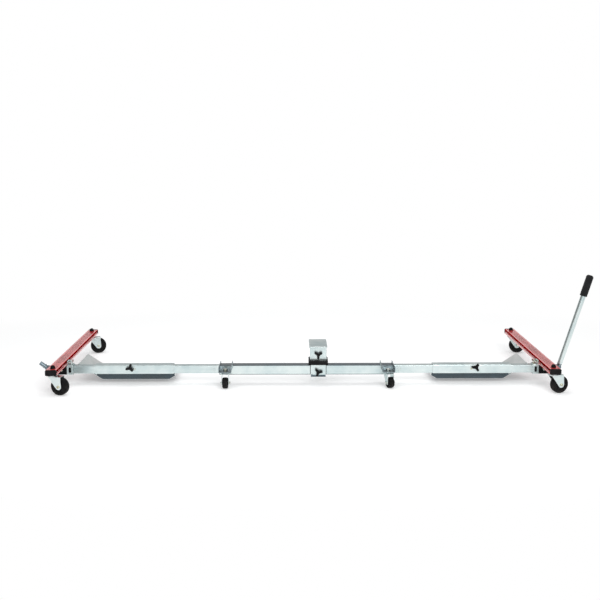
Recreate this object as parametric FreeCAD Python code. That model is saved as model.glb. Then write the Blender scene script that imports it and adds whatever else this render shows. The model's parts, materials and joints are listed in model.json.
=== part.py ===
"""Mover dolly: a telescoping rail with two crossbars on casters, wheel cradles, a support and a lever.

Millimetres. X runs along the rail, Y across it towards the cradles, Z up, floor at zero.
The model is laid out from the rail's centre line and moved to the middle of its base at the end.
"""
import FreeCAD, Part
import math
import os

# Layout
bar_near_reach = 225.0
corner_height = 104.0
rail_shift = 17.0
support_offset = 59.0

# Clearances
slide_gap = 0.5
run_gap = 0.06
seat_gap = 0.1
face_gap = 0.3
overrun = 5.0

# Rail and end tubes
rail_size = 50.0
rail_wall = 3.0
rail_corner = 4.0
rail_length = 884.0
end_tube_size = 40.0
end_tube_wall = 2.5
end_tube_corner = 3.0
end_tube_length = 1110.0
end_tube_past_bar = 13.0
end_tube_inside = 312.0
lock_hole_radius = 8.0
lock_hole_gap = 30.0
pad_length = 40.0
pad_lip = 2.0

# Mid brackets and their casters
bracket_width = 64.0
bracket_sheet = 3.5
bracket_near_reach = 110.0
bracket_far_reach = 45.0
bracket_drop = 20.0
bracket_rise = 8.0
mid_caster_reach = 66.0
mid_wheel_radius = 28.0
mid_wheel_width = 28.0
mid_trail = 20.0
mid_head_radius = 19.0
mid_nut_width = 19.0
mid_nut_height = 9.0

# Crossbars and their trim
bar_width = 54.0
bar_height = 27.0
bar_length = 960.0
bar_wall = 4.0
bar_edge = 2.0
rib_pitch = 6.0
rib_count = 6
rib_groove_width = 1.6
rib_groove_depth = 1.0
side_groove_height = 5.0
side_groove_depth = 2.0
cap_plate = 8.0
cap_overhang = 1.0
cap_corner = 6.0
cap_plug_length = 18.0
nut_cap_radius = 12.5
nut_cap_skirt = 5.0
caster_inset = 35.0

# Corner casters
corner_wheel_radius = 44.5
corner_wheel_width = 32.0
corner_trail = 36.0
corner_head_radius = 23.0

# What both caster sizes share
head_thick = 5.0
crown_thick = 4.5
fork_sheet = 3.0
king_pin_radius = 6.0
king_pin_flange = 3.5
king_pin_end = 3.0
wheel_side_gap = 2.0
axle_radius = 4.0
axle_head_width = 13.0
axle_head_height = 5.0
hub_radius = 10.0
tread_round = 6.0
web_recess = 6.0

# Stirrups, sockets and wing screws at the crossbars
strap_width = 30.0
strap_sheet = 5.0
strap_slot_width = 9.0
strap_slot_height = 26.0
tongue_sheet = 3.5
tongue_width = 32.0
tongue_height = 20.0
socket_wall = 4.0
socket_corner = 3.0
wing_inset = 20.0
wing_reach = 14.0
wing_height = 24.0
wing_sheet = 3.0
wing_hub_radius = 6.0
wing_hub_height = 10.0
wing_round = 5.0
screw_radius = 4.0

# Stub tubes, their brackets, the lever and its grip
stub_inset = 90.0
stub_pivot_out = 14.0
stub_pivot_drop = 10.0
stub_radius = 10.0
stub_wall = 2.5
stub_length = 42.0
stub_root = 4.0
stub_shoulder = 4.0
barrel_radius = 8.5
barrel_length = 22.0
pivot_pin_radius = 5.0
pivot_head_radius = 7.5
pivot_head_height = 3.0
ear_sheet = 3.0
ear_round = 9.5
stub_plate_sheet = 3.0
stub_plate_margin = 2.0
lever_radius = 12.5
lever_start = 16.0
lever_length = 455.0
grip_radius = 18.0
grip_length = 107.0
grip_end = 7.0
grip_round = 12.0

# Cradles
cradle_sheet = 4.0
cradle_ground_gap = 20.0
cradle_floor_half = 170.0
cradle_half_length = 290.0
cradle_lip_height = 104.0
cradle_inner_length = 200.0
cradle_inner_lip = 42.0
cradle_far_reach = 237.0
cradle_strap_gap = 21.0
saddle_length = 400.0
saddle_lip = 0.5
cradle_knob_shift = 20.0
cradle_knob_drop = 8.0

# Three-lobe knobs
knob_lobe_radius = 5.5
knob_lobe_reach = 16.0
knob_waist_radius = 14.0
knob_thick = 14.0
knob_round = 2.5
knob_neck_radius = 7.0
knob_neck_height = 5.0

# Support on the rail
clamp_width = 77.0
clamp_sheet = 4.0
clamp_lip = 24.0
clamp_drop = 10.0
clamp_slant = 9.0
clamp_knob_rise = 16.0
collar_width = 98.0
collar_depth = 94.0
collar_height = 22.5
collar_edge = 5.0
stem_depth = 41.0
stem_wall = 3.0
stem_corner = 3.0
post_wall = 3.0
post_height = 62.5
post_head_room = 3.0
post_knob_rise = 28.5
platform_width = 92.0
platform_near_reach = 30.0
platform_far_reach = 155.0
platform_thick = 6.0
platform_corner = 8.0

# Headings of the casters, leans of the stubs and turns of the knobs, in degrees
near_rear_heading = -15.0
near_front_heading = 18.0
far_rear_heading = 12.0
far_front_heading = -8.0
mid_rear_heading = -90.0
mid_front_heading = -65.0
front_lean = 16.3
rear_lean = 54.0
rear_cradle_knob_turn = 75.0
front_cradle_knob_turn = 60.0
clamp_knob_turn = 10.0
post_knob_turn = 30.0
wing_turn = 20.0

# Shares of the sizes that they follow
rim_share = 0.72
leg_end_share = 0.34
leg_back_share = 0.92
leg_front_share = 0.8

# Places worked out from the sizes above
end_tube_inner_x = rail_length / 2 - end_tube_inside
end_tube_outer_x = end_tube_inner_x + end_tube_length
bar_x = end_tube_outer_x - end_tube_past_bar
bar_near_y = -bar_near_reach
bar_far_y = bar_length - bar_near_reach
bar_bottom = corner_height
bar_top = bar_bottom + bar_height
near_caster_y = bar_near_y + caster_inset
far_caster_y = bar_far_y - caster_inset
bar_inner_x = bar_x - bar_width / 2
bar_outer_x = bar_x + bar_width / 2
rail_top = corner_height
rail_bottom = rail_top - rail_size
end_tube_top = rail_top - rail_wall - slide_gap
end_tube_bottom = end_tube_top - end_tube_size
end_tube_z = (end_tube_top + end_tube_bottom) / 2
cradle_offset = bar_inner_x - strap_width - cradle_strap_gap - cradle_half_length
bracket_floor = rail_top - bracket_drop
support_x = rail_shift + support_offset
stub_y = bar_near_y + stub_inset
stub_pivot_x = bar_outer_x + stub_pivot_out
stub_pivot_z = bar_top - stub_pivot_drop
cradle_knob_x = cradle_offset + cradle_knob_shift
cradle_knob_z = end_tube_top - cradle_knob_drop
saddle_inner = end_tube_size / 2 + slide_gap
saddle_outer = saddle_inner + cradle_sheet
saddle_bottom = end_tube_bottom - saddle_lip
clamp_inner = rail_size / 2 + slide_gap
clamp_outer = clamp_inner + clamp_sheet
clamp_top = rail_top + slide_gap + clamp_sheet
clamp_bottom = rail_bottom - clamp_drop - clamp_sheet
clamp_knob_z = rail_bottom + clamp_knob_rise
collar_top = clamp_top + collar_height
stem_half_depth = stem_depth / 2
post_half_depth = stem_half_depth + slide_gap + post_wall
post_width = clamp_width + 2 * (slide_gap + post_wall)
post_bottom = collar_top + face_gap
post_top = post_bottom + post_height
post_knob_z = post_bottom + post_knob_rise
wing_x = bar_inner_x - wing_inset
strap_top = end_tube_top + slide_gap + strap_sheet


def block(x0, x1, y0, y1, z0, z1):
    """Box between two corners."""
    return Part.makeBox(x1 - x0, y1 - y0, z1 - z0, FreeCAD.Vector(x0, y0, z0))


def rod(radius, start, end):
    """Round bar from one point to another."""
    run = end - start
    return Part.makeCylinder(radius, run.Length, start, run)


def rounded_block(x0, x1, y0, y1, z0, z1, radius, direction):
    """Box with the four edges along one direction rounded."""
    solid = block(x0, x1, y0, y1, z0, z1)
    edges = []
    for edge in solid.Edges:
        run = (edge.Vertexes[1].Point - edge.Vertexes[0].Point).normalize()
        if abs(run.dot(direction)) > math.cos(math.pi / 4):
            edges.append(edge)
    return solid.makeFillet(radius, edges)


def square_tube(x0, x1, z_top, size, wall, corner):
    """Square tube along X on the rail's centre line."""
    half = size / 2
    inner = half - wall
    low = z_top - size
    along = FreeCAD.Vector(1, 0, 0)
    outside = rounded_block(x0, x1, -half, half, low, z_top, corner, along)
    hollow = block(x0 - overrun, x1 + overrun, -inner, inner, low + wall, z_top - wall)
    return outside.cut(hollow)


def plate(points, thickness, normal):
    """Flat plate from an outline of points, thickened along a normal."""
    face = Part.Face(Part.makePolygon(points + [points[0]]))
    return face.extrude(normal * thickness)


def hexagon(width, height, base, direction):
    """Hexagonal prism by its width across flats, standing on a base point."""
    corner = width / 2 / math.cos(math.pi / 6)
    points = []
    for step in range(6):
        turn = step * math.pi / 3
        points.append(FreeCAD.Vector(corner * math.cos(turn), corner * math.sin(turn), 0))
    solid = plate(points, height, FreeCAD.Vector(0, 0, 1))
    solid.Placement = FreeCAD.Placement(base, FreeCAD.Rotation(FreeCAD.Vector(0, 0, 1), direction))
    return solid


def turned(points):
    """Solid of revolution about Z from an outline of (radius, height) points."""
    outline = [FreeCAD.Vector(radius, 0, height) for radius, height in points]
    face = Part.Face(Part.makePolygon(outline + [outline[0]]))
    return face.revolve(FreeCAD.Vector(0, 0, 0), FreeCAD.Vector(0, 0, 1), 360)


def joined(solids):
    """Pieces welded or moulded as one."""
    return solids[0].multiFuse(solids[1:]).removeSplitter()


def mirrored(shape):
    """The same piece at the rear end."""
    return shape.mirror(FreeCAD.Vector(0, 0, 0), FreeCAD.Vector(1, 0, 0))


def tangent_point(centre_x, centre_z, radius, x, z, side):
    """Point where a line from (x, z) touches a circle, on its +1 or -1 side."""
    away = math.hypot(x - centre_x, z - centre_z)
    bearing = math.atan2(z - centre_z, x - centre_x) + side * math.acos(radius / away)
    return centre_x + radius * math.cos(bearing), centre_z + radius * math.sin(bearing)


def tapered_plate(low, high, eye, radius, y0, y1):
    """Plate in the XZ plane that tapers from two corners to a round end about an eye."""
    low_touch = tangent_point(eye[0], eye[1], radius, low[0], low[1], 1)
    high_touch = tangent_point(eye[0], eye[1], radius, high[0], high[1], -1)
    outline = [low, low_touch, eye, high_touch, high]
    points = [FreeCAD.Vector(x, y0, z) for x, z in outline]
    web = plate(points, y1 - y0, FreeCAD.Vector(0, 1, 0))
    end = rod(radius, FreeCAD.Vector(eye[0], y0, eye[1]), FreeCAD.Vector(eye[0], y1, eye[1]))
    return web.fuse(end).removeSplitter()


def caster_levels(head_radius):
    """Heights of the fork's crown and plate under the mounting face, and the crown's radius."""
    crown_top = -(head_thick + face_gap)
    plate_top = crown_top - crown_thick
    plate_bottom = plate_top - fork_sheet
    return crown_top, plate_top, plate_bottom, head_radius - head_thick / 2


def caster_head(head_radius, stem_length):
    """Fixed race with the stem above it and the king pin below it, mounting face at zero."""
    crown_top, plate_top, plate_bottom, crown_radius = caster_levels(head_radius)
    flange_radius = king_pin_radius + king_pin_flange
    flange_top = plate_bottom - face_gap
    flange_bottom = flange_top - king_pin_end
    outline = [
        (0, stem_length),
        (king_pin_radius, stem_length),
        (king_pin_radius, 0),
        (head_radius, 0),
        (head_radius, -head_thick / 2),
        (crown_radius, -head_thick),
        (king_pin_radius, -head_thick),
        (king_pin_radius, flange_top),
        (flange_radius, flange_top),
        (flange_radius, flange_bottom),
        (0, flange_bottom),
    ]
    return turned(outline)


def caster_fork(head_radius, height, wheel_radius, wheel_width, trail):
    """Swivelling fork: crown, top plate and two tapered legs, trailing along +X."""
    crown_top, plate_top, plate_bottom, crown_radius = caster_levels(head_radius)
    inner = wheel_width / 2 + wheel_side_gap
    outer = inner + fork_sheet
    back = -crown_radius * leg_back_share
    end_radius = wheel_radius * leg_end_share
    front = trail + end_radius * leg_front_share
    axle_z = wheel_radius - height
    crown = rod(crown_radius, FreeCAD.Vector(0, 0, plate_bottom), FreeCAD.Vector(0, 0, crown_top))
    top = block(back, front, -outer, outer, plate_bottom, plate_top)
    solids = [crown, top]
    for y0, y1 in ((-outer, -inner), (inner, outer)):
        leg = tapered_plate((back, plate_top), (front, plate_top), (trail, axle_z), end_radius, y0, y1)
        solids.append(leg)
    fork = joined(solids)
    pin_low = FreeCAD.Vector(0, 0, plate_bottom - overrun)
    pin_high = FreeCAD.Vector(0, 0, crown_top + overrun)
    axle_left = FreeCAD.Vector(trail, -outer - overrun, axle_z)
    axle_right = FreeCAD.Vector(trail, outer + overrun, axle_z)
    fork = fork.cut(rod(king_pin_radius + run_gap, pin_low, pin_high))
    return fork.cut(rod(axle_radius + seat_gap, axle_left, axle_right))


def caster_axle(height, wheel_radius, wheel_width, trail):
    """Axle bolt with its head and nut against the fork's legs."""
    outer = wheel_width / 2 + wheel_side_gap + fork_sheet
    axle_z = wheel_radius - height
    left = FreeCAD.Vector(trail, -outer, axle_z)
    right = FreeCAD.Vector(trail, outer, axle_z)
    head = hexagon(axle_head_width, axle_head_height, left, FreeCAD.Vector(0, -1, 0))
    nut = hexagon(axle_head_width, axle_head_height, right, FreeCAD.Vector(0, 1, 0))
    return joined([rod(axle_radius, left, right), head, nut])


def caster_wheel(height, wheel_radius, wheel_width, trail):
    """Solid wheel: hub, recessed web and rounded tread about the axle."""
    tread = wheel_width / 2
    hub = tread + wheel_side_gap - face_gap
    web = tread - web_recess
    rim = wheel_radius * rim_share
    bore = axle_radius + run_gap
    hub_side = [(bore, hub), (hub_radius, hub), (hub_radius, web)]
    half = hub_side + [(rim, web), (rim, tread), (wheel_radius, tread)]
    outline = half + [(radius, -level) for radius, level in reversed(half)]
    wheel = turned(outline)
    edges = [edge for edge in wheel.Edges if edge.Curve.TypeId == "Part::GeomCircle"]
    edges = [edge for edge in edges if edge.Curve.Radius > wheel_radius - seat_gap]
    wheel = wheel.makeFillet(tread_round, edges)
    wheel.rotate(FreeCAD.Vector(0, 0, 0), FreeCAD.Vector(1, 0, 0), 90)
    wheel.translate(FreeCAD.Vector(trail, 0, wheel_radius - height))
    return wheel


def placed(shape, heading, x, y, z):
    """Turn a piece about its own vertical axis and set it in place."""
    shape.rotate(FreeCAD.Vector(0, 0, 0), FreeCAD.Vector(0, 0, 1), heading)
    shape.translate(FreeCAD.Vector(x, y, z))
    return shape


def rail_end(side):
    """Distance of the rail's mouth from the middle, towards the front (+1) or the rear (-1)."""
    return rail_length / 2 + side * rail_shift


def bracket_x(side):
    """Distance of a mid bracket's centre from the middle."""
    return rail_end(side) - bracket_width / 2


def caster_places():
    """Every caster: name, heading, swivel axis and the sizes that differ."""
    corner = (corner_height, corner_wheel_radius, corner_wheel_width, corner_trail)
    mid = (bracket_floor, mid_wheel_radius, mid_wheel_width, mid_trail)
    corner_stem = bar_height + nut_cap_skirt
    mid_stem = bracket_sheet + mid_nut_height
    near = near_caster_y
    far = far_caster_y
    reach = -mid_caster_reach
    return [
        ("near_rear", near_rear_heading, -bar_x, near, corner_head_radius, corner_stem, corner),
        ("near_front", near_front_heading, bar_x, near, corner_head_radius, corner_stem, corner),
        ("far_rear", far_rear_heading, -bar_x, far, corner_head_radius, corner_stem, corner),
        ("far_front", far_front_heading, bar_x, far, corner_head_radius, corner_stem, corner),
        ("mid_rear", mid_rear_heading, -bracket_x(-1), reach, mid_head_radius, mid_stem, mid),
        ("mid_front", mid_front_heading, bracket_x(1), reach, mid_head_radius, mid_stem, mid),
    ]


def casters():
    """The four pieces of each caster."""
    pieces = {}
    for name, heading, x, y, head_radius, stem_length, sizes in caster_places():
        height, wheel_radius, wheel_width, trail = sizes
        head = caster_head(head_radius, stem_length)
        fork = caster_fork(head_radius, height, wheel_radius, wheel_width, trail)
        axle = caster_axle(height, wheel_radius, wheel_width, trail)
        wheel = caster_wheel(height, wheel_radius, wheel_width, trail)
        pieces[name + "_caster_head"] = placed(head, heading, x, y, height)
        pieces[name + "_caster_fork"] = placed(fork, heading, x, y, height)
        pieces[name + "_caster_axle"] = placed(axle, heading, x, y, height)
        pieces[name + "_caster_wheel"] = placed(wheel, heading, x, y, height)
    return pieces


def centre_tube():
    """Main rail."""
    return square_tube(-rail_end(-1), rail_end(1), rail_top, rail_size, rail_wall, rail_corner)


def slide_pad(side):
    """Plastic pad under and beside the end tube, in the rail's mouth."""
    mouth = rail_end(side)
    half = rail_size / 2
    inner = half - rail_wall
    inside = block(mouth - pad_length, mouth, -inner, inner, rail_bottom + rail_wall, rail_top - rail_wall)
    lip = block(mouth, mouth + pad_lip, -half, half, rail_bottom, rail_top)
    room = end_tube_size / 2 + face_gap
    way = block(mouth - pad_length - overrun, mouth + pad_lip + overrun, -room, room,
                end_tube_bottom - face_gap, rail_top + overrun)
    return inside.fuse(lip).cut(way)


def end_tube(side):
    """Telescoping tube with the lock hole in its near face."""
    tube = square_tube(end_tube_inner_x, end_tube_outer_x, end_tube_top,
                       end_tube_size, end_tube_wall, end_tube_corner)
    hole_x = rail_end(side) + lock_hole_gap
    start = FreeCAD.Vector(hole_x, -end_tube_size / 2 - overrun, end_tube_z)
    return tube.cut(rod(lock_hole_radius, start, FreeCAD.Vector(hole_x, 0, end_tube_z)))


def mid_bracket(side):
    """Bent channel across the rail, open where the rail passes through it."""
    x = bracket_x(side)
    half = bracket_width / 2
    near = -bracket_near_reach
    far = bracket_far_reach
    top = rail_top + bracket_rise
    floor_top = bracket_floor + bracket_sheet
    channel = block(x - half, x + half, near, far, bracket_floor, top)
    inside = half - bracket_sheet
    channel = channel.cut(block(x - inside, x + inside, near - overrun, far + overrun,
                                floor_top, top + overrun))
    rail_half = rail_size / 2
    rail_way = block(x - half - overrun, x + half + overrun, -rail_half, rail_half,
                     bracket_floor - overrun, rail_top)
    channel = channel.cut(rail_way)
    low = FreeCAD.Vector(x, -mid_caster_reach, bracket_floor - overrun)
    high = FreeCAD.Vector(x, -mid_caster_reach, floor_top + overrun)
    return channel.cut(rod(king_pin_radius + seat_gap, low, high))


def mid_nut(side):
    """Nut on a mid caster's stem, inside its bracket."""
    base = FreeCAD.Vector(bracket_x(side), -mid_caster_reach, bracket_floor + bracket_sheet)
    top = base + FreeCAD.Vector(0, 0, mid_nut_height)
    nut = hexagon(mid_nut_width, mid_nut_height, base, FreeCAD.Vector(0, 0, 1))
    return nut.cut(rod(king_pin_radius + seat_gap, base, top))


def crossbar():
    """Hollow extrusion with fine ribs on top and a groove along each side."""
    along = FreeCAD.Vector(0, 1, 0)
    bar = rounded_block(bar_inner_x, bar_outer_x, bar_near_y, bar_far_y, bar_bottom, bar_top, bar_edge, along)
    start = bar_near_y - overrun
    end = bar_far_y + overrun
    cuts = [block(bar_inner_x + bar_wall, bar_outer_x - bar_wall, start, end,
                  bar_bottom + bar_wall, bar_top - bar_wall)]
    for step in range(rib_count):
        centre = bar_x + (step - (rib_count - 1) / 2) * rib_pitch
        half = rib_groove_width / 2
        cuts.append(block(centre - half, centre + half, start, end,
                          bar_top - rib_groove_depth, bar_top + overrun))
    middle = bar_bottom + bar_height / 2
    low = middle - side_groove_height / 2
    high = middle + side_groove_height / 2
    cuts.append(block(bar_inner_x - overrun, bar_inner_x + side_groove_depth, start, end, low, high))
    cuts.append(block(bar_outer_x - side_groove_depth, bar_outer_x + overrun, start, end, low, high))
    for y in (near_caster_y, far_caster_y):
        bottom = FreeCAD.Vector(bar_x, y, bar_bottom - overrun)
        top = FreeCAD.Vector(bar_x, y, bar_top + overrun)
        cuts.append(rod(king_pin_radius + seat_gap, bottom, top))
    return bar.cut(cuts)


def end_cap(y_bar, outwards):
    """Plastic cap over one end of a crossbar, with its plug inside."""
    y_out = y_bar + outwards * cap_plate
    y_in = y_bar - outwards * cap_plug_length
    along = FreeCAD.Vector(0, 1, 0)
    cover = rounded_block(bar_inner_x - cap_overhang, bar_outer_x + cap_overhang,
                          min(y_bar, y_out), max(y_bar, y_out),
                          bar_bottom - cap_overhang, bar_top + cap_overhang, cap_corner, along)
    inset = bar_wall + seat_gap
    plug = block(bar_inner_x + inset, bar_outer_x - inset, min(y_bar, y_in), max(y_bar, y_in),
                 bar_bottom + inset, bar_top - inset)
    return joined([cover, plug])


def nut_cap(y):
    """Domed cap nut on a corner caster's stem."""
    base = FreeCAD.Vector(bar_x, y, bar_top)
    rim = base + FreeCAD.Vector(0, 0, nut_cap_skirt)
    skirt = rod(nut_cap_radius, base, rim)
    dome = Part.makeSphere(nut_cap_radius, rim, FreeCAD.Vector(0, 0, 1), 0, 90, 360)
    stem_room = rod(king_pin_radius + seat_gap, base, rim + FreeCAD.Vector(0, 0, face_gap))
    return joined([skirt, dome]).cut(stem_room)


def stirrup():
    """Strap ring round the end tube, with a tongue against the crossbar's inner side."""
    along = FreeCAD.Vector(1, 0, 0)
    x0 = bar_inner_x - strap_width
    outer = saddle_inner + strap_sheet
    low = end_tube_bottom - slide_gap
    high = end_tube_top + slide_gap
    ring = rounded_block(x0, bar_inner_x, -outer, outer, low - strap_sheet, strap_top, strap_sheet, along)
    ring = ring.cut(block(x0 - overrun, bar_inner_x + overrun, -saddle_inner, saddle_inner, low, high))
    middle = (x0 + bar_inner_x) / 2
    slot_x = strap_slot_width / 2
    slot_z = strap_slot_height / 2
    ring = ring.cut(block(middle - slot_x, middle + slot_x, -outer - overrun, 0,
                          end_tube_z - slot_z, end_tube_z + slot_z))
    tongue = block(bar_inner_x - tongue_sheet, bar_inner_x, -tongue_width / 2, tongue_width / 2,
                   strap_top - strap_sheet, strap_top + tongue_height)
    hole_low = FreeCAD.Vector(wing_x, 0, end_tube_z)
    hole_high = FreeCAD.Vector(wing_x, 0, strap_top + overrun)
    return joined([ring, tongue]).cut(rod(screw_radius + run_gap, hole_low, hole_high))


def socket():
    """Plastic block under the crossbar that takes the end tube."""
    along = FreeCAD.Vector(1, 0, 0)
    outer = saddle_inner + socket_wall
    low = end_tube_bottom - slide_gap
    body = rounded_block(bar_inner_x, bar_outer_x, -outer, outer, low - socket_wall, bar_bottom,
                         socket_corner, along)
    return body.cut(block(bar_inner_x - overrun, bar_outer_x - socket_wall, -saddle_inner, saddle_inner,
                          low, end_tube_top + slide_gap))


def wing_screw():
    """Wing screw through the top of the stirrup."""
    base_z = strap_top + face_gap
    tip = FreeCAD.Vector(0, 0, end_tube_top + face_gap)
    base = FreeCAD.Vector(0, 0, base_z)
    hub_top = FreeCAD.Vector(0, 0, base_z + wing_hub_height)
    half = wing_sheet / 2
    eye = (wing_reach - wing_round, base_z + wing_height - wing_round)
    wing = tapered_plate((0, base_z), (0, base_z + wing_hub_height), eye, wing_round, -half, half)
    screw = joined([rod(screw_radius, tip, base), rod(wing_hub_radius, base, hub_top), wing, mirrored(wing)])
    return placed(screw, wing_turn, wing_x, 0, 0)


def stub_bracket():
    """Plate on the crossbar's outer side with two ears for the stub's pivot."""
    inner = barrel_length / 2 + face_gap
    outer = inner + ear_sheet
    face_x = bar_outer_x + stub_plate_sheet
    low = bar_bottom + stub_plate_margin
    high = bar_top - stub_plate_margin
    reach = outer + stub_plate_margin
    solids = [block(bar_outer_x, face_x, stub_y - reach, stub_y + reach, low, high)]
    for y0, y1 in ((stub_y - outer, stub_y - inner), (stub_y + inner, stub_y + outer)):
        ear = tapered_plate((face_x, low), (face_x, high), (stub_pivot_x, stub_pivot_z), ear_round, y0, y1)
        solids.append(ear)
    left = FreeCAD.Vector(stub_pivot_x, stub_y - outer - overrun, stub_pivot_z)
    right = FreeCAD.Vector(stub_pivot_x, stub_y + outer + overrun, stub_pivot_z)
    return joined(solids).cut(rod(pivot_pin_radius + run_gap, left, right))


def lean_point(lean, distance):
    """Point on a stub's axis, at a distance from its pivot."""
    turn = math.radians(lean)
    out = stub_pivot_x + distance * math.sin(turn)
    return FreeCAD.Vector(out, stub_y, stub_pivot_z + distance * math.cos(turn))


def stub(lean):
    """Short open tube on a pivot barrel, with a shoulder where the lever stops."""
    half = barrel_length / 2
    ear_face = half + face_gap + ear_sheet + face_gap
    pivot = lean_point(lean, 0)
    across = FreeCAD.Vector(0, 1, 0)
    solids = [
        rod(barrel_radius, pivot - across * half, pivot + across * half),
        rod(pivot_pin_radius, pivot - across * ear_face, pivot + across * ear_face),
        rod(stub_radius, lean_point(lean, stub_root), lean_point(lean, stub_length)),
        rod(lever_radius, lean_point(lean, lever_start - stub_shoulder), lean_point(lean, lever_start)),
    ]
    for way in (-1, 1):
        start = pivot + across * way * ear_face
        solids.append(rod(pivot_head_radius, start, start + across * way * pivot_head_height))
    mouth = lean_point(lean, stub_length + overrun)
    bore = rod(stub_radius - stub_wall, lean_point(lean, lever_start), mouth)
    return joined(solids).cut(bore)


def lever_tube():
    """Lever that slips over the front stub."""
    end = lever_start + lever_length
    tube = rod(lever_radius, lean_point(front_lean, lever_start), lean_point(front_lean, end))
    bore_start = lean_point(front_lean, lever_start - overrun)
    return tube.cut(rod(stub_radius + face_gap, bore_start, lean_point(front_lean, end + overrun)))


def lever_grip():
    """Soft round-ended grip over the top of the lever."""
    end = lever_start + lever_length
    top = end + grip_end
    grip = rod(grip_radius, lean_point(front_lean, top - grip_length), lean_point(front_lean, top))
    tip = lean_point(front_lean, top)
    edges = [edge for edge in grip.Edges if edge.Closed and (edge.CenterOfMass - tip).Length < grip_round]
    grip = grip.makeFillet(grip_round, edges)
    bore_start = lean_point(front_lean, top - grip_length - overrun)
    return grip.cut(rod(lever_radius + seat_gap, bore_start, lean_point(front_lean, end)))


def ramp(length, lip):
    """Corners of one end of the trough, from its lip down to its foot, and the slope."""
    slope = math.atan2(lip - cradle_ground_gap - cradle_sheet, length - cradle_floor_half)
    foot = cradle_floor_half + cradle_sheet * math.tan(slope / 2)
    under = (length + cradle_sheet * math.sin(slope), lip - cradle_sheet * math.cos(slope))
    return [(length, lip), under, (foot, cradle_ground_gap)], slope


def cradle():
    """Bent trough for a carried wheel, with a high outer end and a saddle over the end tube."""
    x = cradle_offset
    floor_top = cradle_ground_gap + cradle_sheet
    outer, outer_slope = ramp(cradle_half_length, cradle_lip_height)
    inner, inner_slope = ramp(cradle_inner_length, cradle_inner_lip)
    inner = [(-dx, z) for dx, z in reversed(inner)]
    inside = [(-cradle_floor_half, floor_top), (cradle_floor_half, floor_top)]
    trough = plate([FreeCAD.Vector(x + dx, saddle_inner, z) for dx, z in outer + inner + inside],
                   cradle_far_reach - saddle_inner, FreeCAD.Vector(0, 1, 0))
    half = saddle_length / 2
    top = end_tube_top + slide_gap
    saddle_top = top + cradle_sheet
    outer_foot = outer[-1]
    inner_foot = inner[0]
    outer_z = cradle_ground_gap + (half - outer_foot[0]) * math.tan(outer_slope)
    inner_z = cradle_ground_gap + (half + inner_foot[0]) * math.tan(inner_slope)
    wall = [(half, saddle_top), (half, outer_z), outer_foot, inner_foot, (-half, inner_z), (-half, saddle_top)]
    far_wall = plate([FreeCAD.Vector(x + dx, saddle_inner, z) for dx, z in wall],
                     cradle_sheet, FreeCAD.Vector(0, 1, 0))
    roof = block(x - half, x + half, -saddle_outer, saddle_outer, top, saddle_top)
    near_wall = block(x - half, x + half, -saddle_outer, -saddle_inner, saddle_bottom, saddle_top)
    hole_start = FreeCAD.Vector(cradle_knob_x, -saddle_outer - overrun, cradle_knob_z)
    hole = rod(screw_radius + run_gap, hole_start, FreeCAD.Vector(cradle_knob_x, 0, cradle_knob_z))
    return joined([trough, far_wall, roof, near_wall]).cut(hole)


def knob(turn, stud_length, x, y, z):
    """Three-lobe knob facing -Y on a face at y, with its stud going in."""
    reach = knob_lobe_radius + knob_waist_radius
    waist_out = (knob_lobe_reach + math.sqrt(4 * reach ** 2 - 3 * knob_lobe_reach ** 2)) / 2
    back = -face_gap - knob_neck_height

    def at(distance, angle):
        bearing = math.radians(turn + angle)
        return FreeCAD.Vector(distance * math.cos(bearing), back, distance * math.sin(bearing))

    def touch(lobe_angle, waist_angle):
        lobe = at(knob_lobe_reach, lobe_angle)
        return lobe + (at(waist_out, waist_angle) - lobe) * (knob_lobe_radius / reach)

    edges = []
    for angle in (0, 120, 240):
        before = touch(angle, angle - 60)
        after = touch(angle, angle + 60)
        following = touch(angle + 120, angle + 60)
        tip = at(knob_lobe_reach + knob_lobe_radius, angle)
        waist = at(waist_out - knob_waist_radius, angle + 60)
        edges.append(Part.Arc(before, tip, after).toShape())
        edges.append(Part.Arc(after, waist, following).toShape())
    head = Part.Face(Part.Wire(edges)).extrude(FreeCAD.Vector(0, -knob_thick, 0))
    rims = [edge for edge in head.Edges if abs(edge.Vertexes[0].Y - edge.Vertexes[1].Y) < seat_gap]
    head = head.makeFillet(knob_round, rims)
    neck_end = FreeCAD.Vector(0, -face_gap, 0)
    neck = rod(knob_neck_radius, FreeCAD.Vector(0, back - knob_round, 0), neck_end)
    stud = rod(screw_radius, neck_end, FreeCAD.Vector(0, stud_length, 0))
    return placed(joined([head, neck, stud]), 0, x, y, z)


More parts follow.
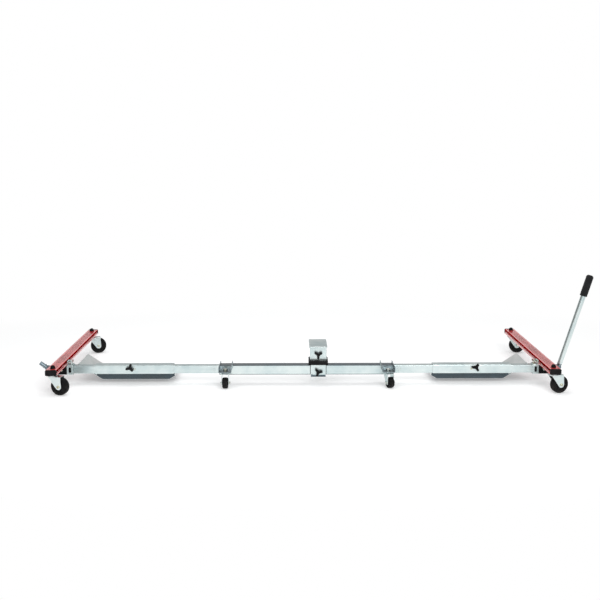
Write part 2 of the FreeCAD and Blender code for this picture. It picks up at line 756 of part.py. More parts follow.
def support_clamp():
    """Clamp round the rail with the stem welded on top."""
    half = clamp_width / 2
    x0 = support_x - half
    x1 = support_x + half
    roof_low = rail_top + slide_gap
    upright = FreeCAD.Vector(0, 0, 1)
    stem_top = post_top - post_head_room
    stem = rounded_block(x0, x1, -stem_half_depth, stem_half_depth, clamp_top, stem_top, stem_corner, upright)
    hollow = stem_half_depth - stem_wall
    stem = stem.cut(block(x0 + stem_wall, x1 - stem_wall, -hollow, hollow, clamp_top, stem_top + overrun))
    lip_end = clamp_lip - clamp_outer
    lip_top = clamp_bottom + clamp_sheet
    near_wall = [
        (-clamp_outer, clamp_top),
        (-clamp_outer, rail_bottom),
        (clamp_slant - clamp_outer, clamp_bottom),
        (lip_end, clamp_bottom),
        (lip_end, lip_top),
        (clamp_slant - clamp_inner, lip_top),
        (-clamp_inner, rail_bottom),
        (-clamp_inner, clamp_top),
    ]
    solids = [
        block(x0, x1, -clamp_outer, clamp_outer, roof_low, clamp_top),
        plate([FreeCAD.Vector(x0, y, z) for y, z in near_wall], clamp_width, FreeCAD.Vector(1, 0, 0)),
        block(x0, x1, clamp_inner, clamp_outer, clamp_bottom, clamp_top),
        stem,
    ]
    hole_start = FreeCAD.Vector(support_x, -clamp_outer - overrun, clamp_knob_z)
    hole_end = FreeCAD.Vector(support_x, 0, clamp_knob_z)
    return joined(solids).cut(rod(screw_radius + run_gap, hole_start, hole_end))


def support_collar():
    """Plastic collar round the foot of the stem."""
    upright = FreeCAD.Vector(0, 0, 1)
    half = collar_width / 2
    depth = collar_depth / 2
    collar = rounded_block(support_x - half, support_x + half, -depth, depth, clamp_top, collar_top,
                           collar_edge, upright)
    room_x = clamp_width / 2 + seat_gap
    room_y = stem_half_depth + seat_gap
    return collar.cut(block(support_x - room_x, support_x + room_x, -room_y, room_y,
                            clamp_top - overrun, collar_top + overrun))


def support_post():
    """Box post that slides up the stem."""
    upright = FreeCAD.Vector(0, 0, 1)
    half = post_width / 2
    post = rounded_block(support_x - half, support_x + half, -post_half_depth, post_half_depth,
                         post_bottom, post_top, stem_corner, upright)
    room_x = half - post_wall
    room_y = post_half_depth - post_wall
    post = post.cut(block(support_x - room_x, support_x + room_x, -room_y, room_y,
                          post_bottom - overrun, post_top + overrun))
    hole_start = FreeCAD.Vector(support_x, -post_half_depth - overrun, post_knob_z)
    return post.cut(rod(screw_radius + run_gap, hole_start, FreeCAD.Vector(support_x, 0, post_knob_z)))


def support_platform():
    """Top plate that reaches back under the load."""
    upright = FreeCAD.Vector(0, 0, 1)
    half = platform_width / 2
    return rounded_block(support_x - half, support_x + half, -platform_near_reach, platform_far_reach,
                         post_top, post_top + platform_thick, platform_corner, upright)


def pieces():
    """Every piece by name, laid out from the rail's centre line."""
    saddle_stud = cradle_sheet + slide_gap - face_gap
    clamp_stud = clamp_sheet + slide_gap - face_gap
    post_stud = post_wall + slide_gap - face_gap
    caps = [end_cap(bar_near_y, -1), end_cap(bar_far_y, 1)]
    nut_caps = [nut_cap(near_caster_y), nut_cap(far_caster_y)]
    found = casters()
    found["centre_tube"] = centre_tube()
    found["slide_pads"] = Part.makeCompound([mirrored(slide_pad(-1)), slide_pad(1)])
    found["rear_mid_bracket"] = mirrored(mid_bracket(-1))
    found["front_mid_bracket"] = mid_bracket(1)
    found["mid_caster_nuts"] = Part.makeCompound([mirrored(mid_nut(-1)), mid_nut(1)])
    found["rear_end_tube"] = mirrored(end_tube(-1))
    found["front_end_tube"] = end_tube(1)
    for end, side, turn in (("rear", -1, rear_cradle_knob_turn), ("front", 1, front_cradle_knob_turn)):
        name = end + "_cradle_knob"
        found[name] = knob(turn, saddle_stud, side * cradle_knob_x, -saddle_outer, cradle_knob_z)
    found["rear_stub"] = mirrored(stub(rear_lean))
    found["front_stub"] = stub(front_lean)
    found["lever_tube"] = lever_tube()
    found["lever_grip"] = lever_grip()
    found["support_clamp"] = support_clamp()
    found["support_collar"] = support_collar()
    found["support_post"] = support_post()
    found["support_platform"] = support_platform()
    found["clamp_knob"] = knob(clamp_knob_turn, clamp_stud, support_x, -clamp_outer, clamp_knob_z)
    found["post_knob"] = knob(post_knob_turn, post_stud, support_x, -post_half_depth, post_knob_z)
    both_ends = {
        "crossbar": crossbar(),
        "end_caps": Part.makeCompound(caps),
        "nut_caps": Part.makeCompound(nut_caps),
        "stirrup": stirrup(),
        "socket": socket(),
        "wing_screw": wing_screw(),
        "stub_bracket": stub_bracket(),
        "cradle": cradle(),
    }
    for name, shape in both_ends.items():
        found["rear_" + name] = mirrored(shape)
        found["front_" + name] = shape
    return found


def base_shift(found):
    """Move that brings the middle of the dolly's base to the origin."""
    box = FreeCAD.BoundBox()
    for shape in found.values():
        box.add(shape.optimalBoundingBox(False))
    return FreeCAD.Vector(-box.Center.x, -box.Center.y, -box.ZMin)


def main():
    """Write one file per piece."""
    os.makedirs("parts", exist_ok=True)
    found = pieces()
    shift = base_shift(found)
    for name, shape in found.items():
        shape.translate(shift)
        shape.exportStep("parts/" + name + ".step")
    print(len(found), "pieces, moved by", shift)


if __name__ == "__main__":
    main()
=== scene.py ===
"""Looks of the mover dolly: plated tubes and bent sheet, red ribbed bars, moulded trim and rubber wheels.

Metres, in the frame's own axes: X along the rail, Y across it towards the cradles, Z up, floor at zero.
"""
import json
import math
from contextlib import contextmanager

import bmesh
import bpy
from bpy.props import FloatProperty, FloatVectorProperty, IntProperty, PointerProperty
from mathutils import Matrix, Vector

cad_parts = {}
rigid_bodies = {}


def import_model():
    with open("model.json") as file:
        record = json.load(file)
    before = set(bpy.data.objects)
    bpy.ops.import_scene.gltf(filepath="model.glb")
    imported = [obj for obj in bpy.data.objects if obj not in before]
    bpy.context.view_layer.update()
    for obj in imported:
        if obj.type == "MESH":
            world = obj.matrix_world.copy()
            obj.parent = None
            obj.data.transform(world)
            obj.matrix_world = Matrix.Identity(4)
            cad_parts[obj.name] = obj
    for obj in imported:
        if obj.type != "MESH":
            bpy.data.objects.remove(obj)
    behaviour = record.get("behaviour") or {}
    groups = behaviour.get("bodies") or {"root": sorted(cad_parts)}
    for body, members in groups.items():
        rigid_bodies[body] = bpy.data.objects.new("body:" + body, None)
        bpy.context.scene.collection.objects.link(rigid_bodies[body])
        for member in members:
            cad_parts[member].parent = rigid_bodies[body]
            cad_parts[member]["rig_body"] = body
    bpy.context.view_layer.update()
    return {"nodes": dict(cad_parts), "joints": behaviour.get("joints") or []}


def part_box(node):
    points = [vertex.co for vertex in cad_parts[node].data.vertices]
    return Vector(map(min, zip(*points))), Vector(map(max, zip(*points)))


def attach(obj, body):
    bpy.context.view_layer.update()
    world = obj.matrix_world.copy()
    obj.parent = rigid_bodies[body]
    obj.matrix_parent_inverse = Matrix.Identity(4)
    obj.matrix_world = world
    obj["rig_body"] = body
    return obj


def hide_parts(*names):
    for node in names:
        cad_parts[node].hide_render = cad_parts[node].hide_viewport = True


bl_info = {
    "name": "Mover dolly looks",
    "version": (1, 0, 0),
    "blender": (4, 5, 0),
    "location": "View3D > Sidebar > Dolly",
    "description": "Dresses the mover dolly with rounded sheet metal, moulded trim and plated finishes",
    "category": "Object",
}

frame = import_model()
nodes = frame["nodes"]
joints = {joint["name"]: joint for joint in frame["joints"]}

# The dolly's two ends, with their side along the rail
SIDES = {"rear": -1, "front": 1}
CORNER_CASTERS = ("near_rear", "near_front", "far_rear", "far_front")
MID_CASTERS = ("mid_rear", "mid_front")
KNOBS = ("rear_cradle_knob", "front_cradle_knob", "clamp_knob", "post_knob")
UP = Vector((0, 0, 1))
OUT = Vector((0, -1, 0))

# Points closer than the first are one, and measures that differ by less than the second are alike
MERGE = 1e-5
NEAR = 1e-4
# A face leans to a side once its normal reaches this far that way
SLANT = 0.2
# Edges longer than this run along a bend
LONG_EDGE = 0.05
# Share of a wheel's radius that its core takes up, and of the small bolts' width that a cradle's bolt has
RIM_SHARE = 0.72
CRADLE_BOLT_SHARE = 0.8
# How far the flats of a bolt's head are turned
BOLT_TURN = 0.4
CORE_RIBS = 5
KNOB_ARMS = 3
# Height over the floor up to which dust lies on the tyres
DUST_REACH = 0.075


def node_size(name):
    """Edge lengths of a node's box."""
    low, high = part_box(name)
    return high - low


def node_middle(name):
    """Middle of a node's box."""
    low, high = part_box(name)
    return (low + high) / 2


def wheel_radius_of(caster):
    """Rolling radius of a caster's wheel."""
    return node_size(caster + "_caster_wheel").z / 2


def body_of(node):
    """Body that a node rides on."""
    return nodes[node]["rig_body"]


def alike(first, second):
    """Whether two measures are the same, as far as a mesh can tell."""
    return abs(first - second) < NEAR


def at_ends(value, low, high):
    """Whether a measure lies at one of the ends of a range."""
    return alike(value, low) or alike(value, high)


# User properties
def length(name, description, default):
    """A size in metres."""
    return FloatProperty(name=name, description=description, default=default, unit="LENGTH", precision=4)


def colour(name, description, default):
    """A linear colour."""
    return FloatVectorProperty(name=name, description=description, default=default, subtype="COLOR",
                               size=4, min=0.0, max=1.0)


class DollySizes(bpy.types.PropertyGroup):
    """Small sizes of the finish, which the solids leave open."""

    tube_round: length("Tube mouths", "Rounding of the cut ends of the tubes", 0.0006)
    sheet_round: length("Sheet edges", "Rounding of the edges of bent sheet", 0.0009)
    bend_round: length("Sheet bends", "Outer radius of the bends in sheet metal", 0.0045)
    plastic_round: length("Moulded edges", "Rounding of the edges of moulded pieces", 0.0012)
    bar_edge_round: length("Bar edges", "Rounding of the long edges of the crossbars", 0.0016)
    rib_width: length("Rib groove width", "Width of a groove between two ribs of a crossbar", 0.0016)
    rib_depth: length("Rib groove depth", "Depth of the grooves between the ribs", 0.0010)
    rib_pitch: length("Rib pitch", "Distance from one rib to the next", 0.0060)
    rib_count: IntProperty(name="Rib grooves", description="Grooves on top of a crossbar", default=6, min=1)
    side_groove: length("Side groove", "Height of the groove along each side of a crossbar", 0.0050)
    side_depth: length("Side groove depth", "Depth of the groove along each side of a crossbar", 0.0020)
    insert_width: length("Slot insert width", "Width of the insert in a stirrup's slot", 0.012)
    insert_height: length("Slot insert height", "Height of the insert in a stirrup's slot", 0.029)
    tongue_sheet: length("Tongue", "Thickness of the tongue that holds a stirrup to its bar", 0.0035)
    liner_gap: length("Liner gap", "Distance of a liner from the tube behind it", 0.00012)
    liner_thick: length("Liner thickness", "Thickness of the plastic liners of strap and clamp", 0.0003)
    # The clamp's liner is a painted shadow: its black edge at the clamp's sides stands for the shadow gap there
    clamp_shadow_edge: length("Liner edge", "How far the clamp's liner shows at its sides", 0.003)
    cradle_sheet: length("Cradle sheet", "Thickness of the cradles' sheet", 0.004)
    cradle_gap: length("Cradle gap", "Distance of a cradle's saddle from its tube", 0.0005)
    cradle_floor: length("Cradle floor", "Length of a trough's flat floor", 0.34)
    cradle_knob_shift: length("Cradle knob place", "Distance of a cradle's knob from its middle", 0.020)
    cradle_bolt_shift: length("Cradle bolt place", "Distance of the cradle's bolt from its knob", 0.0225)
    cradle_bolt_drop: length("Cradle bolt drop", "How far the cradle's bolt lies under its knob", 0.0085)
    corner_wheel_width: length("Corner wheel width", "Width of the wheels under the crossbars", 0.032)
    mid_wheel_width: length("Middle wheel width", "Width of the wheels under the rail", 0.028)
    tyre_shoulder: length("Tyre shoulder", "Radius of a tyre's shoulders", 0.006)
    tyre_crown: length("Tyre crown", "Rise of the tread's middle over its edges", 0.0005)
    web_depth: length("Wheel web", "How far a core's web lies under the tyre's wall", 0.0055)
    hub_radius: length("Hub radius", "Radius of a wheel core's hub", 0.010)
    hub_proud: length("Hub face", "How far a hub stands out of its wheel", 0.0016)
    core_rib: length("Core rib", "Thickness of the ribs of a wheel core", 0.0028)
    core_round: length("Core edges", "Rounding of the edges of a wheel core", 0.0004)
    axle_radius: length("Axle radius", "Radius of the axle bolts", 0.0039)
    axle_head: length("Axle head", "Height of an axle bolt's head with its washer", 0.005)
    axle_width: length("Axle head width", "Width across the flats of an axle bolt's head", 0.0112)
    knob_hub: length("Knob hub", "Radius of a knob's hub", 0.0088)
    knob_neck: length("Knob neck", "Height of the neck under a knob's arms", 0.0053)
    knob_neck_radius: length("Knob neck radius", "Radius of the neck under a knob's arms", 0.0068)
    knob_stud: length("Knob stud", "Radius of a knob's stud", 0.0039)
    knob_grain: length("Knob moulding", "Grid on which hub and arms melt together", 0.00045)
    knob_lobe: length("Knob lobe", "Radius of the ends of a knob's arms", 0.0062)
    knob_reach: length("Knob reach", "Distance from a knob's axis to the middle of a lobe", 0.0160)
    knob_thick: length("Knob thickness", "Thickness of a knob's arms", 0.0135)
    bolt_width: length("Bolt width", "Width across the flats of the small bolts", 0.010)
    button_radius: length("Lock button", "Radius of the buttons in the end tubes", 0.0077)
    button_gap: length("Lock button place", "Distance of the buttons from the rail's mouths", 0.030)
    weld_radius: length("Weld radius", "Radius of a weld bead", 0.0026)
    grip_radius: length("Grip radius", "Radius of the lever's grip", 0.018)
    grip_bore: length("Grip bore", "Radius of the grip's open end around the tube", 0.0128)
    grip_dome: length("Grip dome", "Rounding of the grip's closed end", 0.012)
    grip_lip: length("Grip lip", "Length of the rolled lip at the grip's open end", 0.0055)
    grip_start: length("Grip rings' start", "Distance of the first ring from the grip's open end", 0.018)
    grip_rings: IntProperty(name="Grip rings", description="Rings moulded into the grip", default=7, min=2)
    grip_ring: length("Grip ring", "Depth of the rings moulded into the lever's grip", 0.0008)


class DollyColours(bpy.types.PropertyGroup):
    """Colours of the finishes."""

    zinc: colour("Zinc", "Bright plated steel", (0.72, 0.79, 0.78, 1))
    zinc_cool: colour("Zinc shade", "Cooler patches of the plating", (0.51, 0.62, 0.63, 1))
    # Edge wear with a painted highlight; also the painted highlight on the upward inside faces of the cradles'
    # troughs
    zinc_rubbed_and_highlight: colour("Zinc edges", "Rubbed edges of plated sheet", (0.92, 0.93, 0.92, 1))
    # Dark sheet: painted shade and painted dark reflection on the mid brackets and the clamp's lower band; the stubs
    # and their brackets take it too
    dark_sheet_painted_shade: colour("Chromate", "Dark dark sheet with painted shade", (0.22, 0.27, 0.30, 1))
    dark_sheet_painted_shade_deep: colour("Chromate shade", "Darker patches of dark sheet with painted shade", (0.08, 0.11, 0.13, 1))
    # Painted shade: dark zinc painted on the rail's top and underside and on the cradles' undersides
    zinc_painted_shade: colour("Dulled zinc", "Upper and lower faces of the rail", (0.075, 0.09, 0.10, 1))
    cut: colour("Cut edges", "Cut edges of plated sheet", (0.12, 0.15, 0.17, 1))
    passivated: colour("Screws", "Olive passivated screws", (0.42, 0.38, 0.23, 1))
    red: colour("Red", "Ribbed tops of the red bars", (0.94, 0.075, 0.075, 1))
    # Painted shade: darker red on the upper side bands and top groove floors of the bars, with darker streaks
    red_painted_shade: colour("Deep red", "Drawn sides of the red bars", (0.22, 0.002, 0.004, 1))
    red_painted_shade_streaks: colour("Red shade", "Darkest drawing lines in the red bars", (0.12, 0.001, 0.002, 1))
    red_edge: colour("Red edges", "Rubbed edges of the red bars", (0.52, 0.045, 0.042, 1))
    plastic: colour("Black plastic", "Moulded trim", (0.0045, 0.0045, 0.005, 1))
    plastic_worn: colour("Scuffed plastic", "Handled places on moulded trim", (0.013, 0.013, 0.014, 1))
    rubber: colour("Rubber", "Tyres", (0.005, 0.005, 0.0055, 1))
    dust: colour("Floor dust", "Dust on the running surfaces", (0.050, 0.047, 0.044, 1))
    core: colour("Wheel core", "Moulded wheel cores", (0.010, 0.010, 0.011, 1))
    foam: colour("Grip foam", "Soft grip of the lever", (0.010, 0.010, 0.011, 1))
    floor: colour("Floor", "Pale studio floor", (0.80, 0.80, 0.80, 1))


# Modelling helpers
def only(piece):
    """Select one object alone and make it the active one."""
    bpy.ops.object.select_all(action="DESELECT")
    piece.select_set(True)
    bpy.context.view_layer.objects.active = piece


def started(name, add_shape, **settings):
    """A piece's plain starting shape, selected alone."""
    bpy.ops.object.select_all(action="DESELECT")
    add_shape(**settings)
    piece = bpy.context.object
    piece.name = name
    return piece


def fixed(piece):
    """Put a piece's place, turn and scale into its mesh."""
    only(piece)
    bpy.ops.object.transform_apply(location=True, rotation=True, scale=True)
    return piece


@contextmanager
def editing(piece):
    """Edit mode on one piece, with everything in it selected."""
    only(piece)
    bpy.ops.object.mode_set(mode="EDIT")
    bpy.ops.mesh.select_all(action="SELECT")
    yield
    bpy.ops.object.mode_set(mode="OBJECT")


def pick_faces(piece, test):
    """In edit mode, select just the faces that pass a test."""
    bpy.ops.mesh.select_mode(type="FACE")
    bpy.ops.mesh.select_all(action="DESELECT")
    mesh = bmesh.from_edit_mesh(piece.data)
    for face in mesh.faces:
        if test(face):
            face.select_set(True)
    bmesh.update_edit_mesh(piece.data)


def pick_edges(piece, test):
    """In edit mode, select just the edges that pass a test on their two ends."""
    bpy.ops.mesh.select_mode(type="EDGE")
    bpy.ops.mesh.select_all(action="DESELECT")
    mesh = bmesh.from_edit_mesh(piece.data)
    for edge in mesh.edges:
        if test(edge.verts[0].co, edge.verts[1].co):
            edge.select_set(True)
    bmesh.update_edit_mesh(piece.data)


def applied(piece, kind, **settings):
    """Add a modifier with its settings and apply it."""
    modifier = piece.modifiers.new(kind.lower(), kind)
    for name, value in settings.items():
        setattr(modifier, name, value)
    only(piece)
    bpy.ops.object.modifier_apply(modifier=modifier.name)


def rounded(piece, width, segments=2, angle=35):
    """Round every edge sharper than an angle. The new strips take the second material slot."""
    applied(piece, "BEVEL", width=width, segments=segments, limit_method="ANGLE",
            angle_limit=math.radians(angle), use_clamp_overlap=False,
            material=1 if len(piece.data.materials) > 1 else -1)


def dress(piece, finish):
    """Give a piece its finish, and the finish of its rounded edges."""
    piece.data.materials.clear()
    for name in FINISHES[finish]["materials"]:
        piece.data.materials.append(bpy.data.materials[name])


def settle(piece, body, stands_for=()):
    """Put a piece's place into its mesh, smooth it and let it ride on its body."""
    fixed(piece)
    bpy.ops.object.shade_smooth()
    applied(piece, "WEIGHTED_NORMAL", weight=60, keep_sharp=False)
    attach(piece, body)
    if stands_for:
        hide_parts(*stands_for)
    return piece


def copied(node):
    """Copy of a node's solid with its triangles merged into whole faces."""
    piece = bpy.data.objects.new(node + "_piece", nodes[node].data.copy())
    bpy.context.scene.collection.objects.link(piece)
    with editing(piece):
        bpy.ops.mesh.customdata_custom_splitnormals_clear()
        bpy.ops.mesh.remove_doubles(threshold=MERGE)
        bpy.ops.mesh.dissolve_limited(angle_limit=math.radians(1))
    return piece


def paint_faces(piece, material, test):
    """In edit mode, give the faces that pass a test another of the piece's materials."""
    pick_faces(piece, test)
    piece.active_material_index = piece.data.materials.find(material)
    bpy.ops.object.material_slot_assign()


def softened(node, finish, width, segments=2, bends=None, bend_round=0.0, painted=()):
    """A node's own shape with rounded bends and edges, standing for the node."""
    piece = copied(node)
    dress(piece, finish)
    for material, test in painted:
        with editing(piece):
            paint_faces(piece, material, test)
    if bends:
        with editing(piece):
            pick_edges(piece, bends)
            bpy.ops.mesh.bevel(offset=bend_round, segments=4, affect="EDGES", clamp_overlap=False)
    rounded(piece, width, segments)
    return settle(piece, body_of(node), [node])


def lathe(name, outline, segments=48):
    """Closed turned piece about Z, drawn out ring by ring along (radius, height) points."""
    radius, height = outline[0]
    piece = fixed(started(name, bpy.ops.mesh.primitive_circle_add, vertices=segments, radius=radius,
                          fill_type="NGON", location=(0, 0, height)))
    with editing(piece):
        for next_radius, next_height in outline[1:]:
            rise = {"value": (0, 0, next_height - height)}
            bpy.ops.mesh.extrude_region_move(TRANSFORM_OT_translate=rise)
            share = next_radius / radius
            bpy.ops.transform.resize(value=(share, share, 1), center_override=(0, 0, next_height))
            radius, height = next_radius, next_height
        bpy.ops.mesh.select_all(action="SELECT")
        bpy.ops.mesh.normals_make_consistent(inside=False)
    return piece


def box_piece(name, low, high):
    """A block between two corners, as the start of a piece."""
    low, high = Vector(low), Vector(high)
    piece = started(name, bpy.ops.mesh.primitive_cube_add, size=1, location=(low + high) / 2)
    piece.scale = high - low
    return fixed(piece)


def arc(centre, radius, start, end, steps):
    """Points of an arc in an outline, from one angle to another in degrees."""
    points = []
    for step in range(steps + 1):
        turn = math.radians(start + (end - start) * step / steps)
        points.append((centre[0] + radius * math.cos(turn), centre[1] + radius * math.sin(turn)))
    return points


def stand(piece, place, axis, turn=0.0):
    """Stand a piece made about Z on a place, along an axis, turned about it."""
    upright = UP.rotation_difference(Vector(axis)).to_matrix().to_4x4()
    piece.matrix_world = Matrix.Translation(place) @ upright @ Matrix.Rotation(turn, 4, "Z")
    return fixed(piece)


def twin(piece, name):
    """Copy of a piece with its own mesh."""
    other = bpy.data.objects.new(name, piece.data.copy())
    bpy.context.scene.collection.objects.link(other)
    return other


def joined(pieces, name):
    """Several meshes made one piece."""
    bpy.ops.object.select_all(action="DESELECT")
    for piece in pieces:
        piece.select_set(True)
    bpy.context.view_layer.objects.active = pieces[0]
    bpy.ops.object.join()
    pieces[0].name = name
    return pieces[0]


# Finishes
FINISHES = {
    "zinc": {"slot": "zinc_steel", "materials": ("plated zinc", "rubbed zinc with painted highlight", "zinc with painted shade")},
    "sheet": {"slot": "zinc_steel",
              "materials": ("plated zinc", "rubbed zinc with painted highlight", "cut edge", "dark sheet with painted shade", "zinc with painted shade")},
    "screw": {"slot": "zinc_steel", "materials": ("passivated screw", "rubbed zinc with painted highlight")},
    "dark_sheet_painted_shade": {"slot": "zinc_steel", "materials": ("dark sheet with painted shade", "cut edge")},
    "weld": {"slot": "zinc_steel", "materials": ("plated weld",)},
    "red": {"slot": "red_aluminium", "materials": ("red with painted shade", "rubbed red", "ribbed red")},
    "plastic": {"slot": "black_plastic", "materials": ("moulded plastic", "scuffed plastic")},
    "core": {"slot": "black_plastic", "materials": ("wheel core", "scuffed plastic")},
    "rubber": {"slot": "wheel_rubber", "materials": ("tyre rubber",)},
    "foam": {"slot": "grip_foam", "materials": ("grip foam",)},
}


def put(tree, socket, value):
    """Set an input socket, or link it where another node's socket is given."""
    if isinstance(value, bpy.types.NodeSocket):
        tree.links.new(value, socket)
    else:
        socket.default_value = value


def feed(tree, node, inputs):
    """Give a shader node's inputs their values and links."""
    for name, value in inputs.items():
        put(tree, node.inputs[name], value)


def add(tree, kind, inputs=None, **settings):
    """Add a shader node with its settings and what feeds its inputs."""
    node = tree.nodes.new("ShaderNode" + kind)
    for name, value in settings.items():
        setattr(node, name, value)
    feed(tree, node, inputs or {})
    return node


def blended(tree, mask, first, second):
    """Colour between two others, by a mask."""
    mix = add(tree, "Mix", {0: mask}, data_type="RGBA")
    colours = [socket for socket in mix.inputs if socket.type == "RGBA"]
    for socket, value in zip(colours, (first, second)):
        put(tree, socket, value)
    return [socket for socket in mix.outputs if socket.type == "RGBA"][0]


def ranged(tree, value, low, high, to_low=0.0, to_high=1.0):
    """A value carried from one range to another and held there."""
    return add(tree, "MapRange", {"Value": value, "From Min": low, "From Max": high,
                                  "To Min": to_low, "To Max": to_high}).outputs["Result"]


def summed(tree, first, second, share):
    """A value with a share of another added to it."""
    return add(tree, "Math", {0: second, 1: share, 2: first}, operation="MULTIPLY_ADD").outputs[0]


def worked(tree, operation, first, second):
    """Two values made one by an operation."""
    return add(tree, "Math", {0: first, 1: second}, operation=operation).outputs[0]


def mixed(tree, mask, first, second):
    """One shader where a mask is nought, another where it is one."""
    return add(tree, "MixShader", {0: mask, 1: first, 2: second}).outputs[0]


def new_group(name, inputs, outputs):
    """Empty node group with named sockets, with what it is given and the node that puts out what it makes."""
    group = bpy.data.node_groups.new(name, "ShaderNodeTree")
    for way, sockets in (("INPUT", inputs), ("OUTPUT", outputs)):
        for socket, kind in sockets:
            group.interface.new_socket(name=socket, in_out=way, socket_type="NodeSocket" + kind)
    return group, group.nodes.new("NodeGroupInput").outputs, group.nodes.new("NodeGroupOutput")


def plating_group():
    """Clouds, crystals and drawing streaks of a plated or drawn metal."""
    group, given, made = new_group(
        "Plated metal",
        [("Vector", "Vector"), ("Stretch", "Vector"), ("Base", "Color"), ("Shade", "Color")],
        [("Color", "Color"), ("Roughness", "Float"), ("Height", "Float")])
    place = given["Vector"]
    cloud = add(group, "TexNoise", {"Vector": place, "Scale": 7.0, "Detail": 5.0, "Roughness": 0.62})
    crystal = add(group, "TexVoronoi", {"Vector": place, "Scale": 210.0}, feature="F1")
    along = add(group, "Mapping", {"Vector": place, "Scale": given["Stretch"]})
    streak = add(group, "TexNoise", {"Vector": along.outputs["Vector"], "Scale": 1.0, "Detail": 6.0,
                                     "Roughness": 0.7})
    grey = add(group, "RGBToBW", {"Color": crystal.outputs["Color"]}).outputs["Val"]
    clouds = ranged(group, cloud.outputs["Fac"], 0.38, 0.66)
    streaks = ranged(group, streak.outputs["Fac"], 0.3, 0.7)
    mask = summed(group, clouds, streaks, 0.35)
    mask = summed(group, mask, grey, 0.14)
    mask = ranged(group, mask, 0.15, 1.35)
    rough = summed(group, mask, streaks, 0.5)
    feed(group, made, {"Color": blended(group, mask, given["Base"], given["Shade"]),
                       "Roughness": ranged(group, rough, 0.0, 1.5, 0.27, 0.38),
                       "Height": summed(group, streaks, grey, 0.3)})


def grain_group():
    """Moulded grain with handled, shinier patches."""
    group, given, made = new_group(
        "Moulded grain", [("Vector", "Vector"), ("Scale", "Float")],
        [("Height", "Float"), ("Handled", "Float"), ("Roughness", "Float")])
    place = given["Vector"]
    grain = add(group, "TexNoise", {"Vector": place, "Scale": given["Scale"], "Detail": 3.0, "Roughness": 0.55})
    patch = add(group, "TexNoise", {"Vector": place, "Scale": 22.0, "Detail": 4.0, "Roughness": 0.6})
    handled = ranged(group, patch.outputs["Fac"], 0.45, 0.7)
    feed(group, made, {"Height": grain.outputs["Fac"], "Handled": handled,
                       "Roughness": ranged(group, handled, 0, 1, 0.52, 0.36)})


def dust_group():
    """Dust that lies on the lowest few centimetres, broken up by noise."""
    group, given, made = new_group(
        "Floor dust", [("Vector", "Vector"), ("Reach", "Float")], [("Mask", "Float")])
    place = given["Vector"]
    height = add(group, "SeparateXYZ", {"Vector": place}).outputs["Z"]
    speck = add(group, "TexNoise", {"Vector": place, "Scale": 90.0, "Detail": 6.0, "Roughness": 0.7})
    low = ranged(group, worked(group, "DIVIDE", height, given["Reach"]), 0.0, 1.0, 1.0, 0.0)
    patchy = ranged(group, speck.outputs["Fac"], 0.42, 0.72)
    feed(group, made, {"Mask": worked(group, "MULTIPLY", low, patchy)})


def new_material(name, values):
    """Material with plain values on its shader. Gives its tree, shader and object coordinates."""
    material = bpy.data.materials.new(name)
    material.use_nodes = True
    tree = material.node_tree
    shader = tree.nodes["Principled BSDF"]
    feed(tree, shader, values)
    return tree, shader, add(tree, "TexCoord").outputs["Object"]


def grouped(tree, name, place, values):
    """Place a shared effect in a material with its own values."""
    return add(tree, "Group", {"Vector": place, **values}, node_tree=bpy.data.node_groups[name]).outputs


def bumped(tree, height, distance, strength):
    """Relief from a height."""
    return add(tree, "Bump", {"Height": height, "Distance": distance, "Strength": strength}).outputs["Normal"]


def metal_finish(name, base, shade, stretch, values, distance=0.00008, strength=0.25):
    """Plated or drawn metal with streaks along one direction."""
    tree, shader, place = new_material(name, values)
    looks = grouped(tree, "Plated metal", place, {"Stretch": stretch, "Base": base, "Shade": shade})
    feed(tree, shader, {"Base Color": looks["Color"], "Roughness": looks["Roughness"],
                        "Normal": bumped(tree, looks["Height"], distance, strength)})


def moulded_finish(name, base, handled, scale, values):
    """Moulded plastic with grain and handled patches."""
    tree, shader, place = new_material(name, values)
    looks = grouped(tree, "Moulded grain", place, {"Scale": scale})
    feed(tree, shader, {"Base Color": blended(tree, looks["Handled"], base, handled),
                        "Roughness": looks["Roughness"],
                        "Normal": bumped(tree, looks["Height"], 0.00015, 0.35)})


def rubber_finish(name, base, dust, values):
    """Tyre rubber, matt, with dust where it runs on the floor."""
    tree, shader, place = new_material(name, values)
    mask = grouped(tree, "Floor dust", place, {"Reach": DUST_REACH})["Mask"]
    looks = grouped(tree, "Moulded grain", place, {"Scale": 520.0})
    feed(tree, shader, {"Base Color": blended(tree, mask, base, dust),
                        "Roughness": ranged(tree, mask, 0, 1, 0.58, 0.86),
                        "Normal": bumped(tree, looks["Height"], 0.0003, 0.4)})


def foam_finish(name, base, worn, values):
    """Closed-cell foam: small pits and a soft sheen."""
    tree, shader, place = new_material(name, values)
    cells = add(tree, "TexVoronoi", {"Vector": place, "Scale": 620.0}, feature="SMOOTH_F1")
    looks = grouped(tree, "Moulded grain", place, {"Scale": 240.0})
    pits = summed(tree, cells.outputs["Distance"], looks["Height"], 0.5)
    feed(tree, shader, {"Base Color": blended(tree, looks["Handled"], base, worn),
                        "Roughness": ranged(tree, looks["Handled"], 0, 1, 0.86, 0.7),
                        "Normal": bumped(tree, pits, 0.0006, 0.5)})


